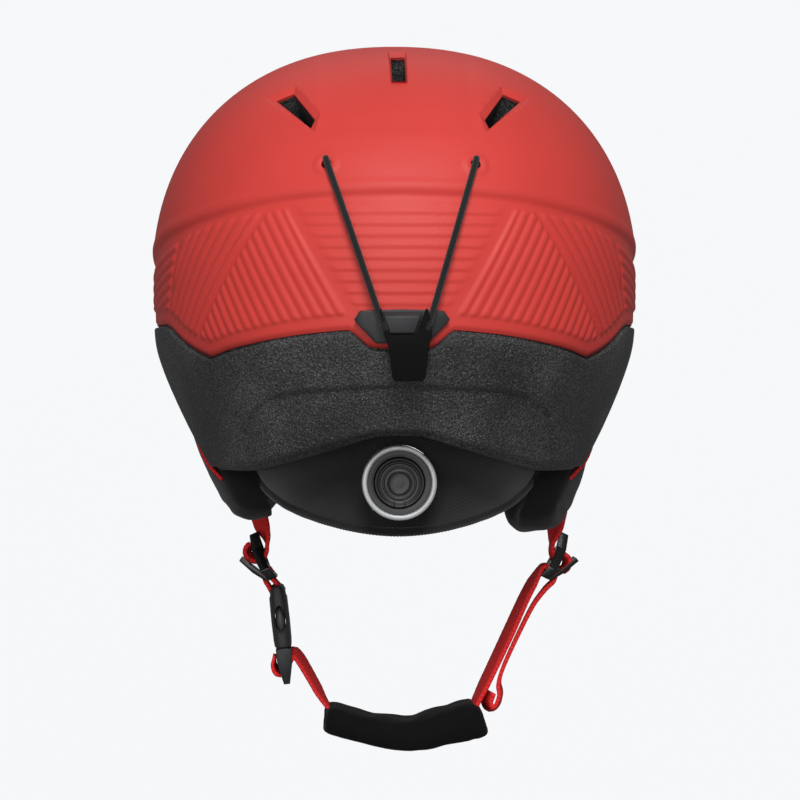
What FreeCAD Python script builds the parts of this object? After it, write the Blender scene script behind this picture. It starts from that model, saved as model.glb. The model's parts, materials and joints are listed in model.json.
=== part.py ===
import FreeCAD, Part
# Ski helmet with a foam liner, a dial fit system, a goggle-strap retainer, soft ear pads and a
# buckled chin strap. Millimetres, +Z up, wearer faces -Y. The origin is the middle of the head
# opening, level with the rim above the ears.
import math
import os

import Sketcher
from FreeCAD import Placement, Rotation, Vector

os.makedirs("parts", exist_ok=True)
doc = FreeCAD.newDocument("SkiHelmet")

# ---------------------------------------------------------------- driving dimensions
DIMENSIONS = {
    # shell surface
    "half_width": 111, "rear_length": 138, "front_length": 136, "crown_height": 135,
    "widest_level": 25, "dome_power": 2.25, "plan_power": 2.2,
    "side_taper": 0.37, "rear_taper": 0.45, "front_taper": 0.2, "taper_level": -2,
    # shell and foam
    "shell_thick": 2.0, "shell_gap": 0.3, "rim_inset": 0.5, "rim_gap": 0.4,
    "foam_thick": 28, "foam_thin_rate": 0.13,
    "liner_gap": 0.5, "liner_thick": 6.5, "vent_slot_half": 2.8,
    # neck panel and fit system
    "panel_gap": 0.8, "panel_thick": 9, "panel_front": 52, "piping_radius": 1.6, "piping_front": 58,
    "dial_level": -61.8, "ring_outer": 16.2, "ring_inner": 13.8, "ring_back": 70, "ring_face": 99,
    "knob_radius": 10.8, "knob_face": 98, "knob_back": 84, "knob_ridge": 0.7,
    "bezel_bore": 11.2, "bezel_outer": 13.75, "bezel_back": 90, "bezel_thick": 5.0,
    "housing_half_width": 17.5, "housing_half_height": 12, "housing_back": 59, "housing_face": 69.6,
    "housing_wall": 1.6, "shaft_radius": 3.0, "shaft_clearance": 0.08,
    "pinion_radius": 4.0, "pinion_teeth": 10, "gear_addendum": 0.6, "gear_dedendum": 0.8,
    "gear_width": 3.0, "gear_back": 63, "rack_body": 2.2,
    "band_thick": 1.8, "band_half_height": 4.5,
    # goggle-strap retainer
    "cord_radius": 1.4, "hinge_y": 125.4, "hinge_z": 75.4, "hole_x": 31.7, "cord_end_half": 9.7,
    "tab_shift": 1.5, "cord_end_y": 143.1, "cord_end_z": 5.6, "cord_room": 0.6,
    "boss_outer": 5.0, "boss_height": 0.8, "boss_depth": 2.6, "boss_face_top": 8.8,
    "base_thick": 2.1, "base_gap": 0.3, "tab_thick": 3.4, "tab_tilt": 8,
    # ear pads
    "pad_outer_inset": 5, "pad_inner_inset": 25,
    "strip_width": 5, "strip_length": 38, "strip_height": 1.2,
    "sleeve_thick": 2.2, "branch_thick": 1.6,
    # chin strap
    "strap_y": -5, "strap_half_width": 9, "strap_thick": 1.6, "pivot_z": -92,
    "divider_thick": 3.4, "divider_slot": 2.4, "lever_reach": 9.4,
    "buckle_x": 50.9, "buckle_z": -139.3, "buckle_tilt": 6, "buckle_half_width": 13.5,
    "buckle_thick": 8.3, "buckle_length": 28.5, "mouth_half_width": 10.8, "mouth_half_thick": 2.3,
    "mouth_depth": 21, "window_half": 2.6, "tongue_length": 17, "tongue_thick": 7, "prong_thick": 4,
    "chin_pad_half_width": 20,
}

sheet = doc.addObject("Spreadsheet::Sheet", "Dims")
for row, (name, number) in enumerate(DIMENSIONS.items(), start=1):
    sheet.set("A%d" % row, name)
    sheet.set("B%d" % row, str(number))
    sheet.setAlias("B%d" % row, name)
doc.recompute()


def dim(name):
    """A dimension as it stands in the sheet."""
    return float(getattr(sheet, name))


def bind(text):
    """An expression over the sheet's names, such as '-{knob_radius}/2'."""
    return text.replace("{", "Dims.").replace("}", "")


def value(text):
    """The number that an expression gives now."""
    result = sheet.evalExpression(bind(text))
    return float(getattr(result, "Value", result))


PARTS = []


def keep(obj, name):
    """Name a finished sub-part and list it for export."""
    obj.Label = name
    PARTS.append(obj)
    return obj


def feature(name, shape):
    """A sub-part whose shape no primitive or body fits."""
    obj = doc.addObject("Part::Feature", name)
    obj.Shape = shape
    return keep(obj, name)


# ---------------------------------------------------------------- part design helpers
def new_body(name):
    body = doc.addObject("PartDesign::Body", name)
    return keep(body, name)


def draw(body, role, loops, offset=0.0):
    """A sketch on one origin plane: each loop is a list of bound corner points, or a circle."""
    plane = [o for o in body.Origin.OriginFeatures if o.Role == role][0]
    sketch = body.newObject("Sketcher::SketchObject", "Sketch")
    sketch.AttachmentSupport = [(plane, "")]
    sketch.MapMode = "FlatFace"
    sketch.AttachmentOffset = Placement(Vector(0, 0, offset), Rotation())
    for loop in loops:
        first = sketch.GeometryCount
        if loop[0] == "circle":
            _, centre, radius = loop
            at = Vector(value(centre[0]), value(centre[1]), 0)
            sketch.addGeometry(Part.Circle(at, Vector(0, 0, 1), value(radius)), False)
            fix_point(sketch, first, 3, centre)
            rule = sketch.addConstraint(Sketcher.Constraint("Radius", first, value(radius)))
            sketch.setExpression("Constraints[%d]" % rule, bind(radius))
            continue
        spots = [Vector(value(x), value(y), 0) for x, y in loop]
        for spot, following in zip(spots, spots[1:] + spots[:1]):
            sketch.addGeometry(Part.LineSegment(spot, following), False)
        count = len(spots)
        for index in range(count):
            after = first + (index + 1) % count
            sketch.addConstraint(Sketcher.Constraint("Coincident", first + index, 2, after, 1))
            fix_point(sketch, first + index, 1, loop[index])
    return sketch


def fix_point(sketch, geometry, point, position):
    """Tie one sketch point to its two bound coordinates."""
    for kind, text in zip(("DistanceX", "DistanceY"), position):
        rule = Sketcher.Constraint(kind, -1, 1, geometry, point, value(text))
        number = sketch.addConstraint(rule)
        sketch.setExpression("Constraints[%d]" % number, bind(text))


def pad(body, sketch, length, midplane=False, reverse=False):
    step = body.newObject("PartDesign::Pad", "Pad")
    step.Profile = sketch
    step.setExpression("Length", bind(length))
    step.Midplane = midplane
    step.Reversed = reverse
    return finish(body, step, sketch)


def pocket(body, sketch, length=None, midplane=False, reverse=False):
    before = body.Shape.Volume
    step = body.newObject("PartDesign::Pocket", "Pocket")
    step.Profile = sketch
    if length is None:
        step.Type = 1
    else:
        step.setExpression("Length", bind(length))
    step.Midplane = midplane
    step.Reversed = reverse
    finish(body, step, sketch)
    if body.Shape.Volume > before - 0.5:
        raise RuntimeError("a pocket in %s removed nothing" % body.Label)
    return step


def spin(body, sketch):
    """A full turn about the sketch's own vertical axis."""
    step = body.newObject("PartDesign::Revolution", "Revolution")
    step.Profile = sketch
    step.ReferenceAxis = (sketch, ["V_Axis"])
    step.Angle = 360
    return finish(body, step, sketch)


def finish(body, step, sketch):
    sketch.Visibility = False
    body.Tip = step
    doc.recompute()
    return step


def round_edges(body, radius, test):
    """Fillet the edges of the body's tip for which test(edge) is true."""
    base = body.Tip
    names = ["Edge%d" % (i + 1) for i, edge in enumerate(base.Shape.Edges) if test(edge)]
    step = body.newObject("PartDesign::Fillet", "Fillet")
    step.Base = (base, names)
    step.Radius = radius
    body.Tip = step
    doc.recompute()
    return step


def along(axis):
    """An edge test: straight and parallel to one axis (0, 1 or 2)."""
    def test(edge):
        if not isinstance(edge.Curve, Part.Line):
            return False
        return abs(abs(edge.Curve.Direction[axis]) - 1) < 1e-4
    return test


# ---------------------------------------------------------------- free-form helpers
def ramp(level, rate):
    """Grows smoothly at the given rate per millimetre below the taper level."""
    fall = rate * (dim("taper_level") - level)
    return 0.5 * (fall + math.sqrt(fall * fall + 9))


def half_sizes(level, inset):
    """Half width, rear length and front length of the shell surface at one height."""
    width = dim("half_width") - inset
    rear = dim("rear_length") - inset
    front = dim("front_length") - inset
    above = level - dim("widest_level")
    if above > 0:
        power = dim("dome_power")
        climb = above / (dim("crown_height") - dim("widest_level") - inset)
        shrink = max(1 - climb ** power, 1e-9) ** (1 / power)
        return width * shrink, rear * shrink, front * shrink
    return (width - ramp(level, dim("side_taper")), rear - ramp(level, dim("rear_taper")),
            front - ramp(level, dim("front_taper")))


def plan_point(level, inset, angle):
    """A point of the surface: the angle runs from the rear (0) over the left side (90)."""
    width, rear, front = half_sizes(level, inset)
    power = dim("plan_power")
    side, back = math.sin(angle), math.cos(angle)
    length = rear if back > 0 else front
    reach = ((abs(side) / width) ** power + (abs(back) / length) ** power) ** (-1 / power)
    return Vector(reach * side, reach * back, level)


def surface_y(x, level, inset=0.0):
    """How far back the surface lies at a given x and height."""
    width, rear, _ = half_sizes(level, inset)
    power = dim("plan_power")
    return rear * (1 - (abs(x) / width) ** power) ** (1 / power)


LOWER_LEVELS = (-95, -80, -60, -40, -22, -8, 6, 25)
UPPER_STEPS = (12, 24, 36, 48, 58, 67, 75, 82, 88)


def dome(inset, thin_rate=0.0):
    """A solid dome; thin_rate lets the inset shrink below the rim level."""
    top = dim("crown_height") - dim("widest_level") - inset
    levels = list(LOWER_LEVELS)
    for step in UPPER_STEPS:
        levels.append(dim("widest_level") + top * math.sin(math.radians(step)) ** (2 / 2.25))
    wires = []
    for level in levels:
        here = inset - thin_rate * max(0.0, -level)
        ring = [plan_point(level, here, math.radians(15 * k)) for k in range(24)]
        curve = Part.BSplineCurve()
        curve.interpolate(ring, PeriodicFlag=True)
        wires.append(Part.Wire([curve.toShape()]))
    return Part.makeLoft(wires, True, False)


def prism(points, axis, start, length):
    """A polygon swept along Y (points are x, z) or along X (points are y, z)."""
    if axis == "y":
        corners = [Vector(a, start, b) for a, b in points]
        sweep = Vector(0, length, 0)
    else:
        corners = [Vector(start, a, b) for a, b in points]
        sweep = Vector(length, 0, 0)
    return Part.Face(Part.makePolygon(corners + corners[:1])).extrude(sweep)


def box(low, high):
    size = [b - a for a, b in zip(low, high)]
    return Part.makeBox(size[0], size[1], size[2], Vector(*low))


def both_sides(right_half):
    """A line of (x, z) points from the middle outward, completed to the other side."""
    return [(-x, z) for x, z in reversed(right_half) if x > 0] + list(right_half)


def mirrored(shape):
    return shape.mirror(Vector(0, 0, 0), Vector(1, 0, 0))


def largest(shape):
    """The main solid of a boolean's result."""
    return max(shape.Solids, key=lambda solid: solid.Volume)


def rounded_path(points, radius):
    """Straight runs joined by tangent arcs, as (start, end, centre or None) in plan pairs."""
    runs = []
    here = points[0]
    for index in range(1, len(points) - 1):
        corner = points[index]
        into = (corner - here).normalize() if index == 1 else (corner - points[index - 1]).normalize()
        out = (points[index + 1] - corner).normalize()
        turn = into.getAngle(out)
        if turn < 1e-3:
            continue
        cut = radius * math.tan(turn / 2)
        first = corner - into * cut
        last = corner + out * cut
        bisector = (out - into).normalize()
        centre = corner + bisector * (radius / math.cos(turn / 2))
        runs.append((here, first, None))
        runs.append((first, last, centre))
        here = last
    runs.append((here, points[-1], None))
    return runs


def path_wire(points, radius):
    """The wire of a rounded path in space."""
    edges = []
    for start, end, centre in rounded_path(points, radius):
        if centre is None:
            if (end - start).Length > 1e-6:
                edges.append(Part.makeLine(start, end))
            continue
        middle = (start + end) * 0.5 - centre
        edges.append(Part.Arc(start, centre + middle.normalize() * radius, end).toShape())
    return Part.Wire(edges)


def ribbon(points, radius, thick, low_y, high_y):
    """Webbing: a rounded path in the XZ plane with a thickness, swept across its width."""
    flat = [Vector(x, low_y, z) for x, z in points]
    sides = {1: [], -1: []}
    for start, end, centre in rounded_path(flat, radius):
        if centre is None:
            run = (end - start).normalize()
            normal = Vector(run.z, 0, -run.x) * (thick / 2)
            for sign in (1, -1):
                sides[sign].append(Part.makeLine(start + normal * sign, end + normal * sign))
            continue
        first, last = start - centre, end - centre
        run = (last - first).normalize()
        outward = Vector(run.z, 0, -run.x)
        bulge = (first + last).normalize()
        for sign in (1, -1):
            grow = sign * (1 if outward.dot(bulge) > 0 else -1)
            size = (radius + grow * thick / 2) / radius
            arc = Part.Arc(centre + first * size, centre + bulge * radius * size,
                           centre + last * size)
            sides[sign].append(arc.toShape())
    ends = [side[0].valueAt(side[0].FirstParameter) for side in sides.values()]
    tips = [side[-1].valueAt(side[-1].LastParameter) for side in sides.values()]
    edges = sides[1] + sides[-1] + [Part.makeLine(*ends), Part.makeLine(*tips)]
    wire = Part.Wire(Part.__sortEdges__(edges))
    return Part.Face(wire).extrude(Vector(0, high_y - low_y, 0))


def tube(points, bend, radius, label):
    """A round cord along a rounded path, checked against section times length."""
    path = path_wire(points, bend)
    start = path.OrderedEdges[0]
    tangent = start.tangentAt(start.FirstParameter)
    circle = Part.Wire([Part.Circle(points[0], tangent, radius).toShape()])
    solid = path.makePipeShell([circle], True, True)
    wanted = math.pi * radius ** 2 * path.Length
    print("%s: bend %.1f, length %.1f, volume ratio %.4f"
          % (label, bend, path.Length, solid.Volume / wanted))
    if abs(solid.Volume / wanted - 1) > 0.02:
        raise RuntimeError("%s is not a clean sweep" % label)
    return solid


# ---------------------------------------------------------------- outer shell and foam liner
# Lower edge of the coloured shell behind the ears, from the middle outward (x, z).
SHELL_EDGE = [(0, -5.3), (13, -5.3), (21, 2.8), (36, 2), (57, -1.2), (73, -4.8), (83, -8),
              (91, -2), (98, 6), (102, 7.5), (135, 7.5)]
# The same edge from above the ear to the brow (y, z).
SIDE_EDGE = [(60, 7.5), (-60, 7.5), (-98, 3), (-142, 20)]
# Lower edge of the foam at the nape (x, z) and round the ear to the brow (y, z).
FOAM_EDGE = [(0, -41.3), (10, -41.6), (25, -45), (36, -48.5), (55, -53.5), (70, -57), (135, -58)]
EAR_ARCH = [(58, -100), (52, -60), (32, -30), (14, -6), (4, 2), (-58, 2), (-76, -6), (-100, -5),
            (-142, 12), (-200, 12), (-200, -100)]
SPLIT_Y = 60


def below_shell(lower):
    """Everything under the shell's edge line, moved down by the given amount."""
    rear = [(x, z - lower) for x, z in both_sides(SHELL_EDGE)] + [(135, -130), (-135, -130)]
    side = [(200, 7.5)] + SIDE_EDGE + [(-200, 20), (-200, -130), (200, -130)]
    side = [(y, z - lower if z > -100 else z) for y, z in side[1:-1]] + [(SPLIT_Y, -130)]
    return prism(rear, "y", SPLIT_Y, 140).fuse(prism(side, "x", -200, 400))


# Vent openings in plan (x, y) at the height of the surface, and how they lead inward.
SIDE_VENT = [(38, 107), (45.5, 89), (54, 81), (51.5, 90)]
VENT_TOP = 140.0
VENT_SWEEP = Vector(0, -42, -84)


def vent(points, level, forward=False):
    """A channel through shell and foam that meets the surface at the given height."""
    back = (VENT_TOP - level) * VENT_SWEEP.y / VENT_SWEEP.z
    corners = [Vector(x, y + back, VENT_TOP) for x, y in points]
    channel = Part.Face(Part.makePolygon(corners + corners[:1])).extrude(VENT_SWEEP)
    if forward:
        channel = channel.mirror(Vector(0, 0, 0), Vector(0, 1, 0))
    return channel


def all_vents():
    half = dim("vent_slot_half")
    slot = [(-half, 74), (half, 74), (half, 93), (-half, 93)]
    rear = [vent(slot, 116), vent(SIDE_VENT, 98)]
    front = [vent(slot, 116, True), vent(SIDE_VENT, 98, True)]
    return rear + front + [mirrored(rear[1]), mirrored(front[1])]


def hole_axis():
    """Mouth and direction of the left cord hole."""
    x, z = dim("hole_x"), 74.0
    mouth = Vector(x, surface_y(x, z), z)
    return mouth, Vector(0.22, 0.86, 0.46).normalize()


def cord_hole(radius, above, below):
    mouth, out = hole_axis()
    return Part.makeCylinder(radius, above + below, mouth - out * below, out)


def build_shell_and_foam():
    outer = dome(0)
    shell = outer.cut(dome(dim("shell_thick"))).cut(below_shell(0))
    foam_face = dim("shell_thick") + dim("shell_gap")
    step = box((-200, -200, -130), (200, 200, 200)).cut(below_shell(dim("rim_gap")))
    step = step.cut(dome(foam_face))
    foam = dome(dim("rim_inset")).cut(step)
    foam = foam.cut(dome(dim("foam_thick"), dim("foam_thin_rate")))
    nape = both_sides(FOAM_EDGE) + [(135, -130), (-135, -130)]
    foam = foam.cut(prism(nape, "y", 40, 160))
    foam = foam.cut(prism(EAR_ARCH, "x", -200, 400))
    left_hole = cord_hole(2.2, 10, 14)
    for channel in all_vents() + [left_hole, mirrored(left_hole)]:
        shell = shell.cut(channel)
        foam = foam.cut(channel)
    feature("outer_shell", largest(shell))
    feature("eps_liner", largest(foam))


# ---------------------------------------------------------------- comfort pads
def build_comfort_pads():
    gap = dim("foam_thick") + dim("liner_gap")
    rate = dim("foam_thin_rate")
    layer = dome(gap, rate).cut(dome(gap + dim("liner_thick"), rate))
    pads = {
        "comfort_crown": box((-26, -66, 50), (26, 60, 150)),
        "comfort_brow": box((-58, -150, 17), (58, -70, 46)),
        "comfort_side_left": box((40, -58, 14), (130, 46, 46)),
        "comfort_side_right": box((-130, -58, 14), (-40, 46, 46)),
        "comfort_rear": box((-42, 60, -16), (42, 150, 34)),
    }
    for name, region in pads.items():
        feature(name, largest(layer.common(region)))


# ---------------------------------------------------------------- neck panel
PANEL_EDGE = [(0, -82.6), (14, -81.4), (30, -77.8), (48, -70.5), (61, -61), (64, -54), (64, -30)]


def build_neck_panel():
    outer = dim("foam_thick") + dim("panel_gap")
    rate = dim("foam_thin_rate")
    layer = dome(outer, rate).cut(dome(outer + dim("panel_thick"), rate))
    region = prism(both_sides(PANEL_EDGE), "y", dim("panel_front"), 60)
    hole = Part.makeCylinder(dim("ring_outer") + 0.8, 60, Vector(0, 55, dim("dial_level")),
                             Vector(0, 1, 0))
    level = dim("dial_level")
    rack_room = box((-50, dim("gear_back") - 1, level - 9), (50, dim("gear_back") + 4, level + 9))
    feature("neck_panel", largest(layer.common(region).cut(hole).cut(rack_room)))
    middle = outer + dim("panel_thick") / 2
    gap = dim("piping_radius") + 0.4
    line = []
    for x, z in both_sides(PANEL_EDGE[:5]):
        level = z - gap
        inset = middle - rate * max(0.0, -level)
        line.append(Vector(x, surface_y(x, level, inset), level))
    curve = Part.BSplineCurve()
    curve.interpolate(line)
    path = Part.Wire([curve.toShape()])
    tangent = curve.tangent(curve.FirstParameter)[0]
    circle = Part.Wire([Part.Circle(line[0], tangent, dim("piping_radius")).toShape()])
    welt = path.makePipeShell([circle], True, True)
    behind = box((-90, dim("piping_front"), -100), (90, 150, -20))
    feature("neck_piping", largest(welt.common(behind)))


# ---------------------------------------------------------------- dial and its housing
def dial_placement(y):
    return Placement(Vector(0, y, dim("dial_level")), Rotation())


def build_housing():
    body = new_body("dial_housing")
    w, h = "{housing_half_width}", "{housing_half_height}"
    outline = [("-" + w, "-" + h), (w, "-" + h), (w, h), ("-" + w, h)]
    depth = "{housing_face}-{housing_back}"
    pad(body, draw(body, "XZ_Plane", [outline]), depth)
    round_edges(body, 4.0, along(1))
    wall = "{housing_wall}"
    room = [("-80", "-7.6"), ("80", "-7.6"), ("80", "7.6"), ("-80", "7.6")]
    inner_face = dim("housing_face") - dim("gear_back") - dim("gear_width") - 0.3
    pocket(body, draw(body, "XZ_Plane", [room], inner_face), "{gear_width}+0.6", reverse=True)
    bore = ("circle", ("0", "0"), "{shaft_radius}+{shaft_clearance}")
    pocket(body, draw(body, "XZ_Plane", [bore]), wall + "+2.4", reverse=True)
    body.Placement = dial_placement(dim("housing_face"))


def gear_outline():
    """Corner points of the pinion, drawn in its own plane."""
    count = int(dim("pinion_teeth"))
    tip = dim("pinion_radius") + dim("gear_addendum")
    root = dim("pinion_radius") - dim("gear_dedendum")
    pitch = 2 * math.pi / count
    corners = []
    for tooth in range(count):
        middle = math.pi / 2 + pitch * (tooth + 0.5)
        for reach, share in ((root, -0.27), (tip, -0.10), (tip, 0.10), (root, 0.27)):
            turn = middle + share * pitch
            corners.append(("%.5f" % (reach * math.cos(turn)), "%.5f" % (reach * math.sin(turn))))
    return corners


def build_dial():
    ring = new_body("dial_ring")
    depth = "{ring_face}-{ring_back}"
    profile = [("{ring_inner}", "0"), ("{ring_outer}", "0"), ("{ring_outer}", depth + "-1.2"),
               ("{ring_outer}-0.9", depth), ("{ring_inner}+0.6", depth),
               ("{ring_inner}", depth + "-1.6")]
    spin(ring, draw(ring, "XY_Plane", [profile]))
    ring.Placement = dial_placement(dim("ring_back"))

    bezel = new_body("dial_bezel")
    loops = [("circle", ("0", "0"), "{bezel_outer}"), ("circle", ("0", "0"), "{bezel_bore}")]
    pad(bezel, draw(bezel, "XZ_Plane", loops), "{bezel_thick}", reverse=True)
    bezel.Placement = dial_placement(dim("bezel_back"))

    knob = new_body("dial_knob")
    face = "{knob_face}-{knob_back}"
    r = "{knob_radius}"
    profile = [("0", "0"), (r, "0"), (r, face + "-3.4"), (r + "-0.8", face + "-2.6"),
               (r + "-4.0", face + "-1.9"), (r + "-4.6", face + "-1.1"), (r + "-6.2", face + "-0.9"),
               (r + "-6.8", face), ("0", face)]
    spin(knob, draw(knob, "XY_Plane", [profile]))
    groove = draw(knob, "XZ_Plane", [("circle", ("{knob_radius}", "0"), "{knob_ridge}")])
    cut = pocket(knob, groove)
    pattern = knob.newObject("PartDesign::PolarPattern", "Grip")
    pattern.Originals = [cut]
    pattern.Axis = (groove, ["N_Axis"])
    pattern.Angle = 360
    pattern.Occurrences = 24
    knob.Tip = pattern
    doc.recompute()
    knob.Placement = dial_placement(dim("knob_back"))

    pinion = new_body("dial_pinion")
    pad(pinion, draw(pinion, "XZ_Plane", [gear_outline()]), "{gear_width}", reverse=True)
    shaft = draw(pinion, "XZ_Plane", [("circle", ("0", "0"), "{shaft_radius}")],
                 -dim("gear_width"))
    pad(pinion, shaft, "{knob_back}-{gear_back}-{gear_width}", reverse=True)
    pinion.Placement = dial_placement(dim("gear_back"))


def rack_outline():
    """Corners of the upper rack: teeth down, body up, from its inner to its outer end."""
    pitch = 2 * math.pi * dim("pinion_radius") / dim("pinion_teeth")
    low = dim("pinion_radius") - dim("gear_addendum")
    high = dim("pinion_radius") + dim("gear_dedendum")
    top = high + dim("rack_body")
    corners = [(-5.0, high)]
    count = int(30 / pitch)
    for tooth in range(count):
        middle = pitch * (tooth - 1)
        for reach, share in ((high, -0.27), (low, -0.10), (low, 0.10), (high, 0.27)):
            corners.append((middle + share * pitch, reach))
    corners += [(36.0, high), (36.0, top), (-5.0, top)]
    return corners


def build_fit_band():
    """The two racks and the band halves that they pull in."""
    rate = dim("foam_thin_rate")
    inset = dim("foam_thick") + dim("panel_gap") + dim("panel_thick") + 1.6
    layer = dome(inset, rate).cut(dome(inset + dim("band_thick"), rate))
    teeth = [(x, z + dim("dial_level")) for x, z in rack_outline()]
    rack = prism(teeth, "y", dim("gear_back"), dim("gear_width"))
    turned = rack.copy()
    turned.rotate(Vector(0, 0, dim("dial_level")), Vector(0, 1, 0), 180)
    for name, toothed, sign in (("left", rack, 1), ("right", turned, -1)):
        level = dim("dial_level") + sign * (dim("pinion_radius") + 1.9)
        low, high = level - dim("band_half_height"), level + dim("band_half_height")
        reach = (31, 100) if sign > 0 else (-100, -31)
        region = box((reach[0], -42, low), (reach[1], 120, high))
        feature("fit_rack_" + name, toothed)
        strap = largest(layer.common(region))
        slab = box((29, dim("gear_back"), low), (38, dim("gear_back") + dim("gear_width"), high))
        if sign < 0:
            slab = mirrored(slab)
        feature("fit_band_" + name, largest(strap.cut(slab)))


# ---------------------------------------------------------------- goggle-strap retainer
def build_retainer():
    mouth, out = hole_axis()
    inner, outer = dim("cord_radius") + dim("cord_room"), dim("boss_outer")
    boss = Part.makeCylinder(outer, dim("boss_height") + 3, mouth - out * 3, out)
    boss = boss.cut(Part.makeCylinder(inner, 12, mouth - out * 6, out))
    groove = tube(cord_points(1), 90.0, dim("cord_radius") + dim("cord_room"), "cord groove")
    boss = boss.cut(groove).cut(dome(-0.05))
    pair = [largest(boss), mirrored(largest(boss))]
    feature("cord_bosses", Part.makeCompound(pair))

    outline = [(0, 12), (17.6, 11.4), (20.2, 7.6), (11, -2.2), (0, -2.6)]
    region = prism(both_sides(outline), "y", 100, 60)
    raised = dim("base_thick") + dim("base_gap")
    plate = dome(-raised).cut(dome(-dim("base_gap"))).common(region)
    feature("retainer_base", largest(plate))


def build_retainer_boss():
    """The raised stop on the base plate: a sloped top over a face that narrows downwards."""
    body = new_body("retainer_boss")
    outline = [("-8.6", "11.4"), ("-5.2", "1.8"), ("5.2", "1.8"), ("8.6", "11.4")]
    pad(body, draw(body, "XZ_Plane", [outline]), "{boss_depth}")
    slope = [("-{boss_depth}-1", "{boss_face_top}"), ("-{boss_depth}-1", "20"), ("0", "20"),
             ("0", "11.2"), ("-{boss_depth}", "{boss_face_top}")]
    pocket(body, draw(body, "YZ_Plane", [slope]), midplane=True)
    back = surface_y(0, 11.4) + dim("base_gap") + dim("base_thick") + 0.3
    turn = Rotation(Vector(0, 0, 1), 180)
    body.Placement = Placement(Vector(0, back, 0), turn)


def cord_points(side):
    """Middle line of one elastic cord, from its hinge at the hole to the tab's arm."""
    top = Vector(side * dim("hole_x"), dim("hinge_y"), dim("hinge_z"))
    low_x = side * dim("cord_end_half") - dim("tab_shift")
    low = Vector(low_x, dim("cord_end_y"), dim("cord_end_z"))
    knee = top + (low - top) * 0.42
    knee.y = surface_y(knee.x, knee.z) + dim("cord_radius") + 2.5
    return [top, knee, low]


# Outline of the tab in its own plane, from the cords' ends down: two arms beside the stop, then
# the plate. The tab rests a little to the wearer's right of the stop.
TAB = [(9.9, -1.0), (8.3, -4.6), (6.3, -8.6), (4.2, -22.8), (3.2, -23.8), (-8.8, -23.8),
       (-9.8, -22.8), (-11.2, -8.6), (-12.8, -4.6), (-13.2, -1.0), (-7.4, -1.0), (-6.2, -4.6),
       (6.2, -4.6), (7.2, -1.0)]


def build_cords_and_tab():
    for name, side in (("cord_left", 1), ("cord_right", -1)):
        feature(name, tube(cord_points(side), 90.0, dim("cord_radius"), "elastic cord"))
    mouth, out = hole_axis()
    stub = Part.makeCylinder(dim("cord_radius"), 11, mouth - out * 11, out)
    feature("cord_stubs", Part.makeCompound([stub, mirrored(stub)]))
    tab = new_body("retainer_tab")
    outline = [("%.2f" % x, "%.2f" % z) for x, z in TAB]
    pad(tab, draw(tab, "XZ_Plane", [outline]), "{tab_thick}", midplane=True)
    tab.Placement = Placement(Vector(0, dim("cord_end_y"), dim("cord_end_z")),
                              Rotation(Vector(1, 0, 0), -dim("tab_tilt")))


# ---------------------------------------------------------------- ear pads
EAR_PAD = [(-56, -0.5), (2, -0.5), (9, -5), (28, -31), (47, -61), (45, -78), (34, -88), (16, -84),
           (8, -80), (-22, -80), (-42, -70), (-54, -46), (-60, -18)]


def build_ear_pads():
    inset = dim("pad_outer_inset")
    layer = dome(inset).cut(dome(dim("pad_inner_inset")))
    region = prism(EAR_PAD, "x", 30, 120)
    left = largest(layer.common(region))
    feature("ear_pad_left", left)
    feature("ear_pad_right", mirrored(left))

    sleeve = dome(inset - 0.4 - dim("sleeve_thick")).cut(dome(inset - 0.4))
    outline = [(36, -60), (43, -76), (33, -85), (10, -77), (-14, -77), (-12, -66), (20, -56)]
    cover = largest(sleeve.common(prism(outline, "x", 30, 120)))
    feature("strap_sleeve_left", cover)
    feature("strap_sleeve_right", mirrored(cover))

    branch = dome(inset - 0.4 - dim("branch_thick")).cut(dome(inset - 0.4))
    outline = [(29.5, -37), (41.5, -54.5), (35.5, -59.2), (20.6, -55.2)]
    webbing = largest(branch.common(prism(outline, "x", 30, 120)))
    feature("strap_branch_left", webbing)
    feature("strap_branch_right", mirrored(webbing))


def build_pad_hinges():
    """A plastic snap strip above each ear pad, held in the foam's arch."""
    for name, sign in (("left", 1), ("right", -1)):
        strip = doc.addObject("Part::Box", "pad_strip_" + name)
        strip.setExpression("Length", bind("{strip_width}"))
        strip.setExpression("Width", bind("{strip_length}"))
        strip.setExpression("Height", bind("{strip_height}"))
        x = 88 if sign > 0 else -88 - dim("strip_width")
        strip.Placement = Placement(Vector(x, -46, 0.4), Rotation())
        keep(strip, "pad_strip_" + name)


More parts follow.
